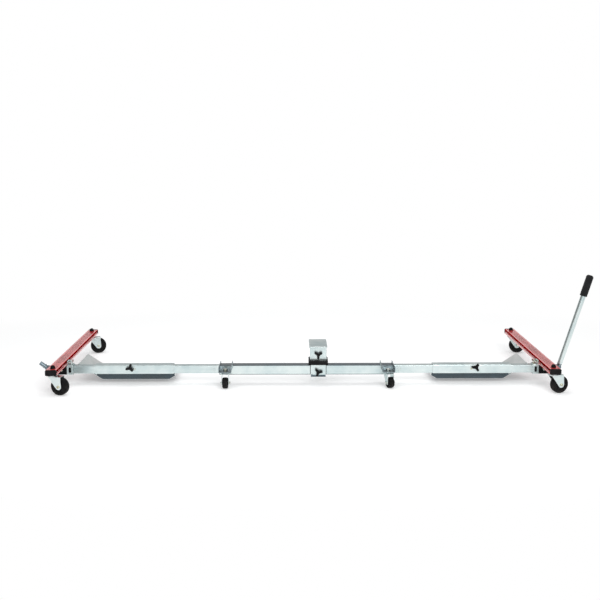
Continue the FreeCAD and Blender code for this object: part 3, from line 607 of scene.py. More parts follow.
class DOLLY_OT_finishes(bpy.types.Operator):
    """Make the shared effects and the finishes"""

    bl_idname = "dolly.finishes"
    bl_label = "Finishes"

    def execute(self, context):
        paint = context.scene.dolly_colours
        plating_group()
        grain_group()
        dust_group()
        along_rail = (3.0, 170.0, 170.0)
        along_bar = (420.0, 2.5, 420.0)
        even = (60.0, 60.0, 60.0)
        steel = {"Metallic": 1.0}
        metal_finish("plated zinc", paint.zinc, paint.zinc_cool, along_rail, steel)
        metal_finish("rubbed zinc with painted highlight", paint.zinc_rubbed_and_highlight, paint.zinc, even, steel)
        metal_finish("cut edge", paint.cut, paint.zinc_cool, even, steel, 0.0002, 0.4)
        metal_finish("plated weld", paint.zinc_cool, paint.zinc, even, steel, 0.0003, 0.5)
        metal_finish("passivated screw", paint.passivated, paint.zinc, even, steel)
        metal_finish("dark sheet with painted shade", paint.dark_sheet_painted_shade, paint.dark_sheet_painted_shade_deep, even, steel)
        metal_finish("zinc with painted shade", paint.zinc_painted_shade, paint.dark_sheet_painted_shade_deep, along_rail,
                     {"Metallic": 0.55, "Specular IOR Level": 0.2})
        ribbed = {"Metallic": 0.05, "Coat Weight": 1.0, "Coat Roughness": 0.15, "Specular IOR Level": 0.6}
        drawn = {"Metallic": 1.0, "Specular Tint": (0.6, 0.05, 0.06, 1)}
        metal_finish("ribbed red", paint.red, paint.red_edge, along_bar, ribbed, 0.00006, 0.3)
        metal_finish("red with painted shade", paint.red_painted_shade, paint.red_painted_shade_streaks, along_bar, drawn, 0.00006, 0.3)
        metal_finish("rubbed red", paint.red_edge, paint.red, along_bar, drawn, 0.00006, 0.3)
        plastic = {"Metallic": 0.0, "Specular IOR Level": 0.12}
        moulded_finish("moulded plastic", paint.plastic, paint.plastic_worn, 1400.0, plastic)
        moulded_finish("scuffed plastic", paint.plastic_worn, paint.plastic, 700.0, plastic)
        moulded_finish("wheel core", paint.core, paint.plastic_worn, 900.0, plastic)
        rubber_finish("tyre rubber", paint.rubber, paint.dust, {"Specular IOR Level": 0.1})
        foam = {"Specular IOR Level": 0.15, "Sheen Weight": 0.12, "Sheen Roughness": 0.5}
        foam_finish("grip foam", paint.foam, paint.plastic_worn, foam)
        return {"FINISHED"}


# Fasteners and welds
def hex_head(name, width, height):
    """Chamfered hexagon head about Z, standing on zero, with a shallow dish in its top."""
    chamfer = width * 0.07
    land = width * 0.20
    dish = width * 0.03
    piece = fixed(started(name, bpy.ops.mesh.primitive_cylinder_add, vertices=6, radius=width / math.sqrt(3),
                          depth=height, location=(0, 0, height / 2)))
    with editing(piece):
        pick_faces(piece, lambda face: face.normal.z > 1 - NEAR)
        bpy.ops.mesh.inset(thickness=chamfer, depth=width * 0.05)
        bpy.ops.mesh.inset(thickness=land, depth=0)
        bpy.ops.mesh.inset(thickness=dish, depth=-dish)
    return piece


def bolt(name, place, axis, width):
    """Hexagon bolt head on its washer."""
    height = width * 0.42
    rim = width * 0.62
    thick = width * 0.11
    head = hex_head(name, width, height)
    head.location.z = thick
    fixed(head)
    washer = lathe(name + "_washer", [(rim * 0.94, 0), (rim, thick * 0.3), (rim, thick * 0.8), (rim * 0.94, thick)])
    piece = joined([washer, head], name)
    dress(piece, "screw")
    rounded(piece, width * 0.02, 2, 50)
    return stand(piece, place, axis, BOLT_TURN)


def weld(name, start, end, radius):
    """Bead of overlapping ripples from one point to another."""
    run = Vector(end) - Vector(start)
    pitch = radius * 0.9
    flattened = 0.75
    piece = started(name, bpy.ops.mesh.primitive_uv_sphere_add, segments=10, ring_count=6, radius=radius)
    with editing(piece):
        bpy.ops.transform.resize(value=(1, 1, flattened), center_override=(0, 0, 0))
    applied(piece, "ARRAY", fit_type="FIXED_COUNT", count=max(2, round(run.length / pitch)),
            use_relative_offset=False, use_constant_offset=True, constant_offset_displace=(0, 0, pitch))
    dress(piece, "weld")
    return stand(piece, start, run)


def welds(name, body, seams, radius):
    """All the beads of one body as one piece."""
    beads = [weld(name + "_bead", start, end, radius) for start, end in seams]
    return settle(joined(beads, name), body)


def span_along(node, origin, axis):
    """Where a node starts and ends along an axis from an origin."""
    reaches = [(vertex.co - origin).dot(axis) for vertex in nodes[node].data.vertices]
    return min(reaches), max(reaches)


def place_of(joint):
    """Point on a joint's axis."""
    return Vector(joints[joint]["pos_m"])


def axis_of(joint):
    """Direction of a joint's axis."""
    return Vector(joints[joint]["axis"])


class DOLLY_OT_rail(bpy.types.Operator):
    """Round the tubes' mouths and dress the rail, its end tubes and its slide pads"""

    bl_idname = "dolly.rail"
    bl_label = "Rail and end tubes"

    def execute(self, context):
        sizes = context.scene.dolly_sizes
        # Painted shade and painted reflection: the rail's top and underside take the dark zinc
        level = [("zinc with painted shade", lambda face: abs(face.normal.z) > SLANT)]
        softened("centre_tube", "zinc", sizes.tube_round, painted=level)
        rail_low, rail_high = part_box("centre_tube")
        for end, side in SIDES.items():
            softened(end + "_end_tube", "zinc", sizes.tube_round)
            low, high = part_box(end + "_end_tube")
            mouth = rail_high.x if side > 0 else rail_low.x
            spot = Vector((mouth + side * sizes.button_gap, low.y, (low.z + high.z) / 2))
            button = stand(self.button(end, sizes), spot, OUT)
            settle(button, body_of(end + "_end_tube"))
        softened("slide_pads", "plastic", sizes.tube_round)
        return {"FINISHED"}

    def button(self, end, sizes):
        """Dished lock button about Z, a little below the tube's face."""
        rim = sizes.button_radius
        sunk = sizes.tube_round / 2
        outline = [(rim * 0.9, -rim * 0.5), (rim, -rim * 0.4), (rim, -sunk * 3), (rim * 0.94, -sunk),
                   (rim * 0.72, -sunk * 1.4), (rim * 0.4, -sunk * 2.6), (rim * 0.1, -sunk * 3)]
        piece = lathe(end + "_lock_button", outline, 40)
        dress(piece, "zinc")
        return piece


class DOLLY_OT_brackets(bpy.types.Operator):
    """Bend the mid brackets, weld them to the rail and fit their nuts"""

    bl_idname = "dolly.brackets"
    bl_label = "Mid brackets"

    def execute(self, context):
        sizes = context.scene.dolly_sizes
        rail_low, rail_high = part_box("centre_tube")
        seams = []
        for end in SIDES:
            node = end + "_mid_bracket"
            low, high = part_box(node)

            def is_bend(a, b):
                level = alike(a.z, low.z) and alike(b.z, low.z)
                return level and alike(a.x, b.x) and at_ends(a.x, low.x, high.x)

            # The brackets take the dark sheet: painted shade and a painted dark reflection inside them
            softened(node, "dark_sheet_painted_shade", sizes.sheet_round, bends=is_bend, bend_round=sizes.bend_round)
            for x in (low.x, high.x):
                for y in (rail_low.y, rail_high.y):
                    seams.append(((x, y, low.z + sizes.bend_round), (x, y, rail_high.z)))
                seams.append(((x, rail_low.y, rail_high.z), (x, rail_high.y, rail_high.z)))
        welds("bracket_welds", "chassis", seams, sizes.weld_radius)
        softened("mid_caster_nuts", "screw", sizes.tube_round)
        return {"FINISHED"}


class DOLLY_OT_crossbars(bpy.types.Operator):
    """Draw the ribbed crossbars"""

    bl_idname = "dolly.crossbars"
    bl_label = "Crossbars"

    def execute(self, context):
        sizes = context.scene.dolly_sizes
        for end in SIDES:
            node = end + "_crossbar"
            settle(self.bar(node, sizes), body_of(node), [node])
        return {"FINISHED"}

    def bar(self, node, sizes):
        """One bar: a block with rounded long edges, grooves drawn into its top and sides."""
        low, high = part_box(node)
        middle = (low + high) / 2
        piece = box_piece(node + "_piece", low, high)
        dress(piece, "red")
        half_rib = sizes.rib_width / 2
        half_groove = sizes.side_groove / 2
        centres = [middle.x + (step - (sizes.rib_count - 1) / 2) * sizes.rib_pitch
                   for step in range(sizes.rib_count)]
        with editing(piece):
            for centre in centres:
                for x in (centre - half_rib, centre + half_rib):
                    bpy.ops.mesh.select_all(action="SELECT")
                    bpy.ops.mesh.bisect(plane_co=(x, 0, 0), plane_no=(1, 0, 0))
            for z in (middle.z - half_groove, middle.z + half_groove):
                bpy.ops.mesh.select_all(action="SELECT")
                bpy.ops.mesh.bisect(plane_co=(0, 0, z), plane_no=(0, 0, 1))

            def in_rib(face):
                place = face.calc_center_median()
                return face.normal.z > 1 - NEAR and any(abs(place.x - x) < half_rib for x in centres)

            pick_faces(piece, in_rib)
            bpy.ops.mesh.extrude_region_move(TRANSFORM_OT_translate={"value": (0, 0, -sizes.rib_depth)})
            ribbed_half = half_rib + abs(centres[0] - middle.x)
            for way in (-1, 1):
                pick_faces(piece, lambda face: face.normal.x * way > 1 - NEAR
                           and abs(face.calc_center_median().z - middle.z) < half_groove
                           and abs(face.calc_center_median().x - middle.x) > ribbed_half)
                bpy.ops.mesh.extrude_region_move(
                    TRANSFORM_OT_translate={"value": (-way * sizes.side_depth, 0, 0)})

            def is_long_corner(a, b):
                at_side = all(at_ends(point.x, low.x, high.x) for point in (a, b))
                at_level = all(at_ends(point.z, low.z, high.z) for point in (a, b))
                return at_side and at_level and not alike(a.y, b.y)

            pick_edges(piece, is_long_corner)
            bpy.ops.mesh.bevel(offset=sizes.bar_edge_round, segments=3, affect="EDGES", clamp_overlap=False,
                               material=1)
            # Rib tops and the lower side bands take the plain red; the upper side bands and the top groove floors
            # keep the red with painted shade
            paint_faces(piece, "ribbed red", lambda face: (
                face.normal.z > 1 - NEAR and face.calc_center_median().z > high.z - NEAR) or (
                abs(face.normal.x) > 1 - NEAR and face.calc_center_median().z < middle.z + half_groove))
        rounded(piece, sizes.rib_width / 10, 1, 40)
        return piece


class DOLLY_OT_bar_trim(bpy.types.Operator):
    """Mould the crossbars' end caps and the domed nut caps"""

    bl_idname = "dolly.bar_trim"
    bl_label = "Crossbar trim"

    def execute(self, context):
        sizes = context.scene.dolly_sizes
        for end in SIDES:
            node = end + "_end_caps"
            settle(self.end_caps(node, end + "_crossbar", sizes), body_of(node), [node])
            node = end + "_nut_caps"
            settle(self.nut_caps(node), body_of(node), [node])
        return {"FINISHED"}

    def end_caps(self, node, bar, sizes):
        """Rounded covers with a recessed panel on their outer face."""
        low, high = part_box(node)
        bar_low, bar_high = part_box(bar)
        covers = []
        for way, y in ((-1, bar_low.y), (1, bar_high.y)):
            outer = low.y if way < 0 else high.y
            cover = box_piece(node + "_cover", (low.x, min(y, outer), low.z), (high.x, max(y, outer), high.z))
            dress(cover, "plastic")
            with editing(cover):
                pick_edges(cover, lambda a, b: not alike(a.y, b.y))
                bpy.ops.mesh.bevel(offset=5 * sizes.plastic_round, segments=5, affect="EDGES")
                pick_faces(cover, lambda face: face.normal.y * way > 1 - NEAR)
                bpy.ops.mesh.inset(thickness=3 * sizes.plastic_round, depth=0)
                bpy.ops.mesh.inset(thickness=sizes.plastic_round / 2, depth=-sizes.plastic_round)
            rounded(cover, sizes.plastic_round, 3)
            covers.append(cover)
        return joined(covers, node + "_piece")

    def nut_caps(self, node):
        """Domes on a flanged foot."""
        low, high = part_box(node)
        radius = (high.x - low.x) / 2
        foot = radius * 0.14
        dome = radius * 0.93
        rise = (high.z - low.z) - radius
        outline = [(radius * 0.96, 0), (radius, foot * 0.3), (radius, foot * 0.8), (radius * 0.97, foot)]
        outline += [(dome, foot), (dome, rise)] + arc((0, rise), dome, 9, 81, 8)
        first = lathe(node + "_dome", outline, 40)
        dress(first, "plastic")
        rounded(first, radius * 0.03, 2, 50)
        second = twin(first, node + "_dome_far")
        middle_x = (low.x + high.x) / 2
        stand(first, (middle_x, low.y + radius, low.z), UP)
        stand(second, (middle_x, high.y - radius, low.z), UP)
        return joined([first, second], node + "_piece")


class DOLLY_OT_bar_joints(bpy.types.Operator):
    """Round the stirrups, sockets and wing screws that join the bars to the tubes"""

    bl_idname = "dolly.bar_joints"
    bl_label = "Stirrups and sockets"

    def execute(self, context):
        sizes = context.scene.dolly_sizes
        for end, side in SIDES.items():
            low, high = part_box(end + "_stirrup")
            tube_low, tube_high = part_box(end + "_end_tube")

            def is_cut(face):
                return abs(face.normal.x) > 1 - NEAR and face.calc_center_median().z < tube_high.z

            softened(end + "_stirrup", "sheet", sizes.sheet_round, painted=[("cut edge", is_cut)])
            softened(end + "_socket", "plastic", sizes.plastic_round)
            softened(end + "_wing_screw", "screw", sizes.sheet_round)
            middle = (low + high) / 2
            bar_face = high.x if side > 0 else low.x
            tongue_face = bar_face - side * sizes.tongue_sheet
            bolts = []
            for way in (-1, 1):
                spot = Vector((tongue_face, middle.y + way * sizes.bolt_width, high.z - sizes.bolt_width))
                bolts.append(bolt(end + "_tongue_bolt", spot, (-side, 0, 0), sizes.bolt_width))
            socket_low, socket_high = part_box(end + "_socket")
            spot = Vector(((socket_low.x + socket_high.x) / 2, socket_low.y, (socket_low.z + socket_high.z) / 2))
            bolts.append(bolt(end + "_socket_bolt", spot, OUT, sizes.bolt_width))
            settle(joined(bolts, end + "_bar_bolts"), end + "_bar")
            self.slot_insert(end, Vector((middle.x, low.y, (tube_low.z + tube_high.z) / 2)), sizes)
            liner_back = tube_low.y - sizes.liner_gap
            liner = box_piece(end + "_strap_liner",
                              (low.x + sizes.tube_round, liner_back - sizes.liner_thick, tube_low.z),
                              (high.x - sizes.tube_round, liner_back, tube_high.z))
            dress(liner, "plastic")
            settle(liner, end + "_bar")
        return {"FINISHED"}

    def slot_insert(self, end, spot, sizes):
        """Round-ended plastic insert on the slot in the strap's near face."""
        half = Vector((sizes.insert_width / 2, 0, sizes.insert_height / 2))
        piece = box_piece(end + "_slot_insert", spot - half + OUT * sizes.liner_thick, spot + half)
        dress(piece, "plastic")
        with editing(piece):
            pick_edges(piece, lambda a, b: not alike(a.y, b.y))
            bpy.ops.mesh.bevel(offset=half.x * 0.95, segments=6, affect="EDGES")
        settle(piece, end + "_bar")


class DOLLY_OT_casters(bpy.types.Operator):
    """Build the casters: races, forks, axle bolts, tyres and wheel cores"""

    bl_idname = "dolly.casters"
    bl_label = "Casters"

    def execute(self, context):
        sizes = context.scene.dolly_sizes
        for casters, width in ((CORNER_CASTERS, sizes.corner_wheel_width), (MID_CASTERS, sizes.mid_wheel_width)):
            tyre = self.tyre(casters[0], width, sizes)
            core = self.core(casters[0], width, sizes)
            for caster in casters:
                node = caster + "_caster_"
                softened(node + "head", "zinc", sizes.tube_round)
                softened(node + "fork", "zinc", sizes.sheet_round, 3)
                self.axle(caster, sizes)
                hub = place_of(caster + "_spin")
                across = axis_of(caster + "_spin")
                wheel = stand(twin(tyre, caster + "_tyre"), hub, across)
                settle(wheel, caster + "_wheel", [node + "wheel"])
                settle(stand(twin(core, caster + "_core"), hub, across), caster + "_wheel")
            for pattern in (tyre, core):
                bpy.data.objects.remove(pattern)
        return {"FINISHED"}

    def axle(self, caster, sizes):
        """Bolt through the fork with a washer and a head or nut at each side."""
        node = caster + "_caster_axle"
        hub = place_of(caster + "_spin")
        across = axis_of(caster + "_spin")
        near, far = span_along(node, hub, across)
        leg = (far - near) / 2 - sizes.axle_head
        shank = lathe(node + "_shank", [(sizes.axle_radius, -leg), (sizes.axle_radius, leg)], 24)
        dress(shank, "screw")
        stand(shank, hub, across)
        heads = [bolt(node + "_head", hub + across * way * leg, across * way, sizes.axle_width)
                 for way in (-1, 1)]
        settle(joined([shank] + heads, node + "_piece"), body_of(node), [node])

    def tyre(self, caster, width, sizes):
        """Solid tyre about Z: crowned tread, round shoulders and a moulded ring on each wall."""
        radius = wheel_radius_of(caster)
        half = width / 2
        rim = radius * RIM_SHARE
        shoulder = sizes.tyre_shoulder
        crown = sizes.tyre_crown
        wall = [(rim * 0.93, half * 0.60), (rim * 0.955, half * 0.90), (rim * 0.985, half * 0.985),
                (rim * 1.02, half)]
        ring = [(rim * 1.075, half), (rim * 1.085, half * 0.975), (rim * 1.105, half * 0.975), (rim * 1.115, half)]
        corner = arc((radius - shoulder - crown, half - shoulder), shoulder, 90, 0, 6)
        upper = wall + ring + corner + [(radius - crown * 0.4, half * 0.35), (radius, half * 0.04)]
        lower = [(r, -z) for r, z in upper]
        piece = lathe(caster + "_tyre_pattern", lower + upper[::-1], 64)
        dress(piece, "rubber")
        return piece

    def core(self, caster, width, sizes):
        """Moulded wheel core about Z: web, ribs and hub."""
        radius = wheel_radius_of(caster)
        half = width / 2
        rim = radius * RIM_SHARE
        web = half - sizes.web_depth
        hub = sizes.hub_radius
        hub_face = half + sizes.hub_proud
        step_in = sizes.hub_proud / 2
        rib_half = sizes.core_rib / 2
        rim_edge = half * 0.93
        upper = [(rim * 0.97, web * 0.5), (rim * 0.97, rim_edge), (rim * 0.93, half * 0.96), (rim * 0.89, rim_edge),
                 (rim * 0.87, web), (hub * 1.12, web), (hub, web + step_in), (hub, hub_face - step_in),
                 (hub * 0.94, hub_face), (hub * 0.66, hub_face), (hub * 0.62, hub_face - step_in)]
        lower = [(r, -z) for r, z in upper[::-1]]
        parts = [lathe(caster + "_core_pattern", lower + upper, 48)]
        rib_face = web + (rim_edge - web) * 0.6
        for way in (-1, 1):
            bottom, top = sorted((way * web * 0.8, way * rib_face))
            for step in range(CORE_RIBS):
                rib = box_piece(caster + "_rib", (hub * 0.9, -rib_half, bottom), (rim * 0.9, rib_half, top))
                parts.append(stand(rib, (0, 0, 0), UP, step * math.tau / CORE_RIBS))
        piece = joined(parts, caster + "_core_pattern")
        dress(piece, "core")
        rounded(piece, sizes.core_round, 2, 40)
        return piece


class DOLLY_OT_cradles(bpy.types.Operator):
    """Bend the wheel cradles, weld their troughs and fit their lock bolts"""

    bl_idname = "dolly.cradles"
    bl_label = "Wheel cradles"

    def execute(self, context):
        sizes = context.scene.dolly_sizes
        tube_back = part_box("rear_end_tube")[1].y
        for end, side in SIDES.items():
            node = end + "_cradle"
            body = body_of(node)
            low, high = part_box(node)

            def is_bend(a, b):
                across = alike(a.x, b.x) and abs(a.y - b.y) > LONG_EDGE
                along = alike(a.y, b.y) and abs(a.x - b.x) > LONG_EDGE
                trough = across and max(a.z, b.z) < low.z + NEAR
                saddle = along and min(a.z, b.z) > high.z - NEAR and max(a.y, b.y) < low.y + NEAR
                return trough or saddle

            def is_cut(face):
                return abs(face.normal.x) > 1 - NEAR or face.calc_center_median().y > high.y - NEAR

            # Painted shadow: undersides, and forward faces behind the tube, take the dark zinc
            def takes_painted_shade(face):
                behind = face.calc_center_median().y > tube_back
                return face.normal.z < -SLANT or (behind and face.normal.y < -SLANT)

            # Painted highlight: the upward inside faces of the trough take the lighter rubbed zinc
            def takes_painted_highlight(face):
                return face.normal.z > SLANT and face.calc_center_median().y > tube_back

            softened(node, "sheet", sizes.sheet_round, bends=is_bend, bend_round=sizes.bend_round,
                     painted=[("zinc with painted shade", takes_painted_shade), ("cut edge", is_cut), ("rubbed zinc with painted highlight", takes_painted_highlight)])
            knob = place_of(end + "_cradle_knob_turn")
            spot = Vector((knob.x - side * sizes.cradle_bolt_shift, low.y, knob.z - sizes.cradle_bolt_drop))
            settle(bolt(end + "_cradle_bolt", spot, OUT, sizes.bolt_width * CRADLE_BOLT_SHARE), body)
            centre = knob.x - side * sizes.cradle_knob_shift
            half = sizes.cradle_floor / 2
            floor = low.z + sizes.cradle_sheet
            wall = tube_back + sizes.cradle_gap + sizes.cradle_sheet
            seam = ((centre - half, wall, floor), (centre + half, wall, floor))
            welds(end + "_cradle_welds", body, [seam], sizes.weld_radius)
        return {"FINISHED"}


class DOLLY_OT_knobs(bpy.types.Operator):
    """Mould the three-lobe knobs"""

    bl_idname = "dolly.knobs"
    bl_label = "Knobs"

    def execute(self, context):
        sizes = context.scene.dolly_sizes
        for node in KNOBS:
            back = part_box(node)[1].y
            place = place_of(node + "_turn")
            piece = self.knob(node, sizes)
            first_arm = self.first_arm(node, place)
            upright = Matrix.Rotation(math.pi / 2, 4, "X")
            piece.matrix_world = Matrix.Translation(place) @ Matrix.Rotation(-first_arm, 4, "Y") @ upright
            stud = lathe(node + "_stud", [(sizes.knob_stud, 0), (sizes.knob_stud, back - place.y)], 20)
            dress(stud, "plastic")
            stand(stud, place, -OUT)
            settle(joined([fixed(piece), stud], node + "_piece"), body_of(node), [node])
        return {"FINISHED"}

    def first_arm(self, node, place):
        """Angle of the arm of a knob that reaches furthest, seen from the front."""
        tips = [vertex.co - place for vertex in nodes[node].data.vertices]
        tip = max(tips, key=lambda reach: reach.x ** 2 + reach.z ** 2)
        return math.atan2(tip.z, tip.x)

    def knob(self, node, sizes):
        """Hub, neck and three arms melted into one moulding, facing +Z."""
        neck = sizes.knob_neck
        top = neck + sizes.knob_thick
        soft = sizes.plastic_round
        foot = sizes.knob_neck_radius
        rim = sizes.knob_hub
        hub = [(foot, soft / 3), (foot, neck + soft), (rim, neck + 2 * soft), (rim, top - 1.6 * soft),
               (rim * 0.93, top - soft / 3), (rim * 0.7, top), (rim * 0.64, top - soft)]
        parts = [lathe(node + "_hub", hub, 40)]
        arm = sizes.knob_lobe
        lobe = [(arm * 0.9, neck + soft / 2), (arm, neck + 2.5 * soft), (arm, top - 2.5 * soft),
                (arm * 0.86, top - soft / 1.5), (arm * 0.32, top - soft / 6)]
        for step in range(KNOB_ARMS):
            turn = step * math.tau / KNOB_ARMS
            reach = Vector((math.cos(turn), math.sin(turn), 0)) * sizes.knob_reach
            parts.append(stand(lathe(node + "_lobe", lobe, 32), reach, UP))
            bridge = box_piece(node + "_arm", (0, -arm * 0.94, neck + soft),
                               (sizes.knob_reach, arm * 0.94, top - soft))
            parts.append(stand(bridge, (0, 0, 0), UP, turn))
        piece = joined(parts, node + "_piece")
        applied(piece, "REMESH", mode="VOXEL", voxel_size=sizes.knob_grain, adaptivity=0.0)
        applied(piece, "SMOOTH", factor=0.5, iterations=7)
        dress(piece, "plastic")
        return piece


class DOLLY_OT_lever(bpy.types.Operator):
    """Dress the stub tubes, the lever and its soft grip"""

    bl_idname = "dolly.lever"
    bl_label = "Stubs and lever"

    def execute(self, context):
        sizes = context.scene.dolly_sizes
        for end in SIDES:
            softened(end + "_stub_bracket", "dark_sheet_painted_shade", sizes.sheet_round)
            softened(end + "_stub", "dark_sheet_painted_shade", sizes.tube_round)
        softened("lever_tube", "zinc", sizes.tube_round)
        foot = place_of("front_stub_swing")
        axis = axis_of("lever_pull").normalized()
        start, stop = span_along("lever_grip", foot, axis)
        grip = stand(self.grip(stop - start, sizes), foot + axis * start, axis)
        settle(grip, body_of("lever_grip"), ["lever_grip"])
        return {"FINISHED"}

    def grip(self, length, sizes):
        """Soft sleeve about Z with a rolled lip, finger rings and a domed end."""
        radius = sizes.grip_radius
        dome = sizes.grip_dome
        ring = sizes.grip_ring
        lip = sizes.grip_lip
        outline = [(sizes.grip_bore, 0), (radius * 0.93, 0), (radius, lip * 0.45), (radius, lip),
                   (radius - ring, lip * 1.24)]
        first = sizes.grip_start
        pitch = (length - dome - 2 * first) / (sizes.grip_rings - 1)
        for step in range(sizes.grip_rings):
            z = first + step * pitch
            outline += [(radius - ring * 0.2, z - pitch * 0.22), (radius, z - pitch * 0.1), (radius, z + pitch * 0.1),
                        (radius - ring * 0.2, z + pitch * 0.22), (radius - ring, z + pitch * 0.36)]
        outline += arc((radius - dome, length - dome), dome, 0, 80, 8)
        outline += [((radius - dome) * 0.75, length)]
        piece = lathe("lever_grip_piece", outline, 56)
        dress(piece, "foam")
        return piece


class DOLLY_OT_support(bpy.types.Operator):
    """Dress the support: its clamp, collar, post and platform"""

    bl_idname = "dolly.support"
    bl_label = "Support"

    def execute(self, context):
        sizes = context.scene.dolly_sizes
        low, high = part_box("support_clamp")
        rail_low, rail_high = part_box("centre_tube")

        def is_bend(a, b):
            along = abs(a.x - b.x) > high.x - low.x - NEAR and alike(a.z, b.z)
            foot = max(a.z, b.z) < low.z + NEAR and a.y < rail_low.y + sizes.bend_round * 1.5
            side = at_ends(a.y, low.y, high.y) and a.z > low.z + NEAR
            return along and (foot or side)

        # Painted shade: the clamp's lower band, which faces down and forwards, takes the dark sheet
        softened("support_clamp", "sheet", sizes.sheet_round, bends=is_bend, bend_round=sizes.bend_round,
                 painted=[("dark sheet with painted shade", lambda face: face.normal.z < -SLANT and face.normal.y < -SLANT),
                          ("cut edge", lambda face: abs(face.normal.x) > 1 - NEAR)])
        # Painted shadow: a black liner that shows at the clamp's sides as a dark outline
        edge = sizes.clamp_shadow_edge
        liner_back = rail_low.y - sizes.liner_gap
        liner = box_piece("clamp_shadow_liner", (low.x - edge, liner_back - sizes.liner_thick, rail_low.z + edge),
                          (high.x + edge, liner_back, rail_high.z - edge))
        dress(liner, "plastic")
        settle(liner, body_of("support_clamp"))
        softened("support_collar", "plastic", sizes.plastic_round, 3)
        post_low, post_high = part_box("support_post")

        def is_corner(a, b):
            upright = alike(a.x, b.x) and alike(a.y, b.y)
            return upright and at_ends(a.x, post_low.x, post_high.x) and at_ends(a.y, post_low.y, post_high.y)

        softened("support_post", "zinc", sizes.sheet_round, bends=is_corner, bend_round=sizes.bend_round)
        softened("support_platform", "zinc", sizes.sheet_round, 3)
        return {"FINISHED"}


# Softboxes: place from the rail's centre line and the floor, size, and the height that they point at
TOP_PLACE, TOP_SIZE = (-0.4, 0.4, 3.4), (4.5, 2.6)
FRONT_PLACE, FRONT_SIZE = (1.0, -4.2, 2.9), (3.2, 1.8)
AIM_HEIGHT = 0.1
# The floor fades to plain white between two distances, and sooner by a factor across the rail
FLOOR_SIZE = 400
FADE_START, FADE_END, FADE_ACROSS = 1.6, 3.2, 1.7
SENSOR_WIDTH = 36
WHITE = (1, 1, 1, 1)
ROOM_TINT = (0.97, 0.985, 1, 1)


class DollyStage(bpy.types.PropertyGroup):
    """Camera and light of the studio."""

    camera_aside: length("Camera aside", "Camera's place along the rail, from midway between the bars", -0.0586)
    camera_back: length("Camera back", "Camera's distance from the rail's centre line", 4.5608)
    camera_height: length("Camera height", "Camera's height over the floor", 1.2343)
    camera_pitch: FloatProperty(name="Camera pitch", description="How far the camera looks down",
                                default=0.1734, unit="ROTATION")
    camera_yaw: FloatProperty(name="Camera yaw", description="How far the camera looks towards the lever",
                              default=0.0092, unit="ROTATION")
    camera_lens: FloatProperty(name="Lens", description="Focal length for a 36 mm wide picture",
                               default=55.06, unit="CAMERA")
    top_power: FloatProperty(name="Top light", description="Power of the softbox over the dolly",
                             default=55.0, unit="POWER")
    front_power: FloatProperty(name="Front light", description="Power of the softbox at the camera's side",
                               default=140.0, unit="POWER")
    sky: FloatProperty(name="Room light", description="Strength of the even light from the room", default=0.45)
    floor_glow: FloatProperty(name="Floor glow", description="How much paler the floor looks than it is lit",
                              default=0.32)


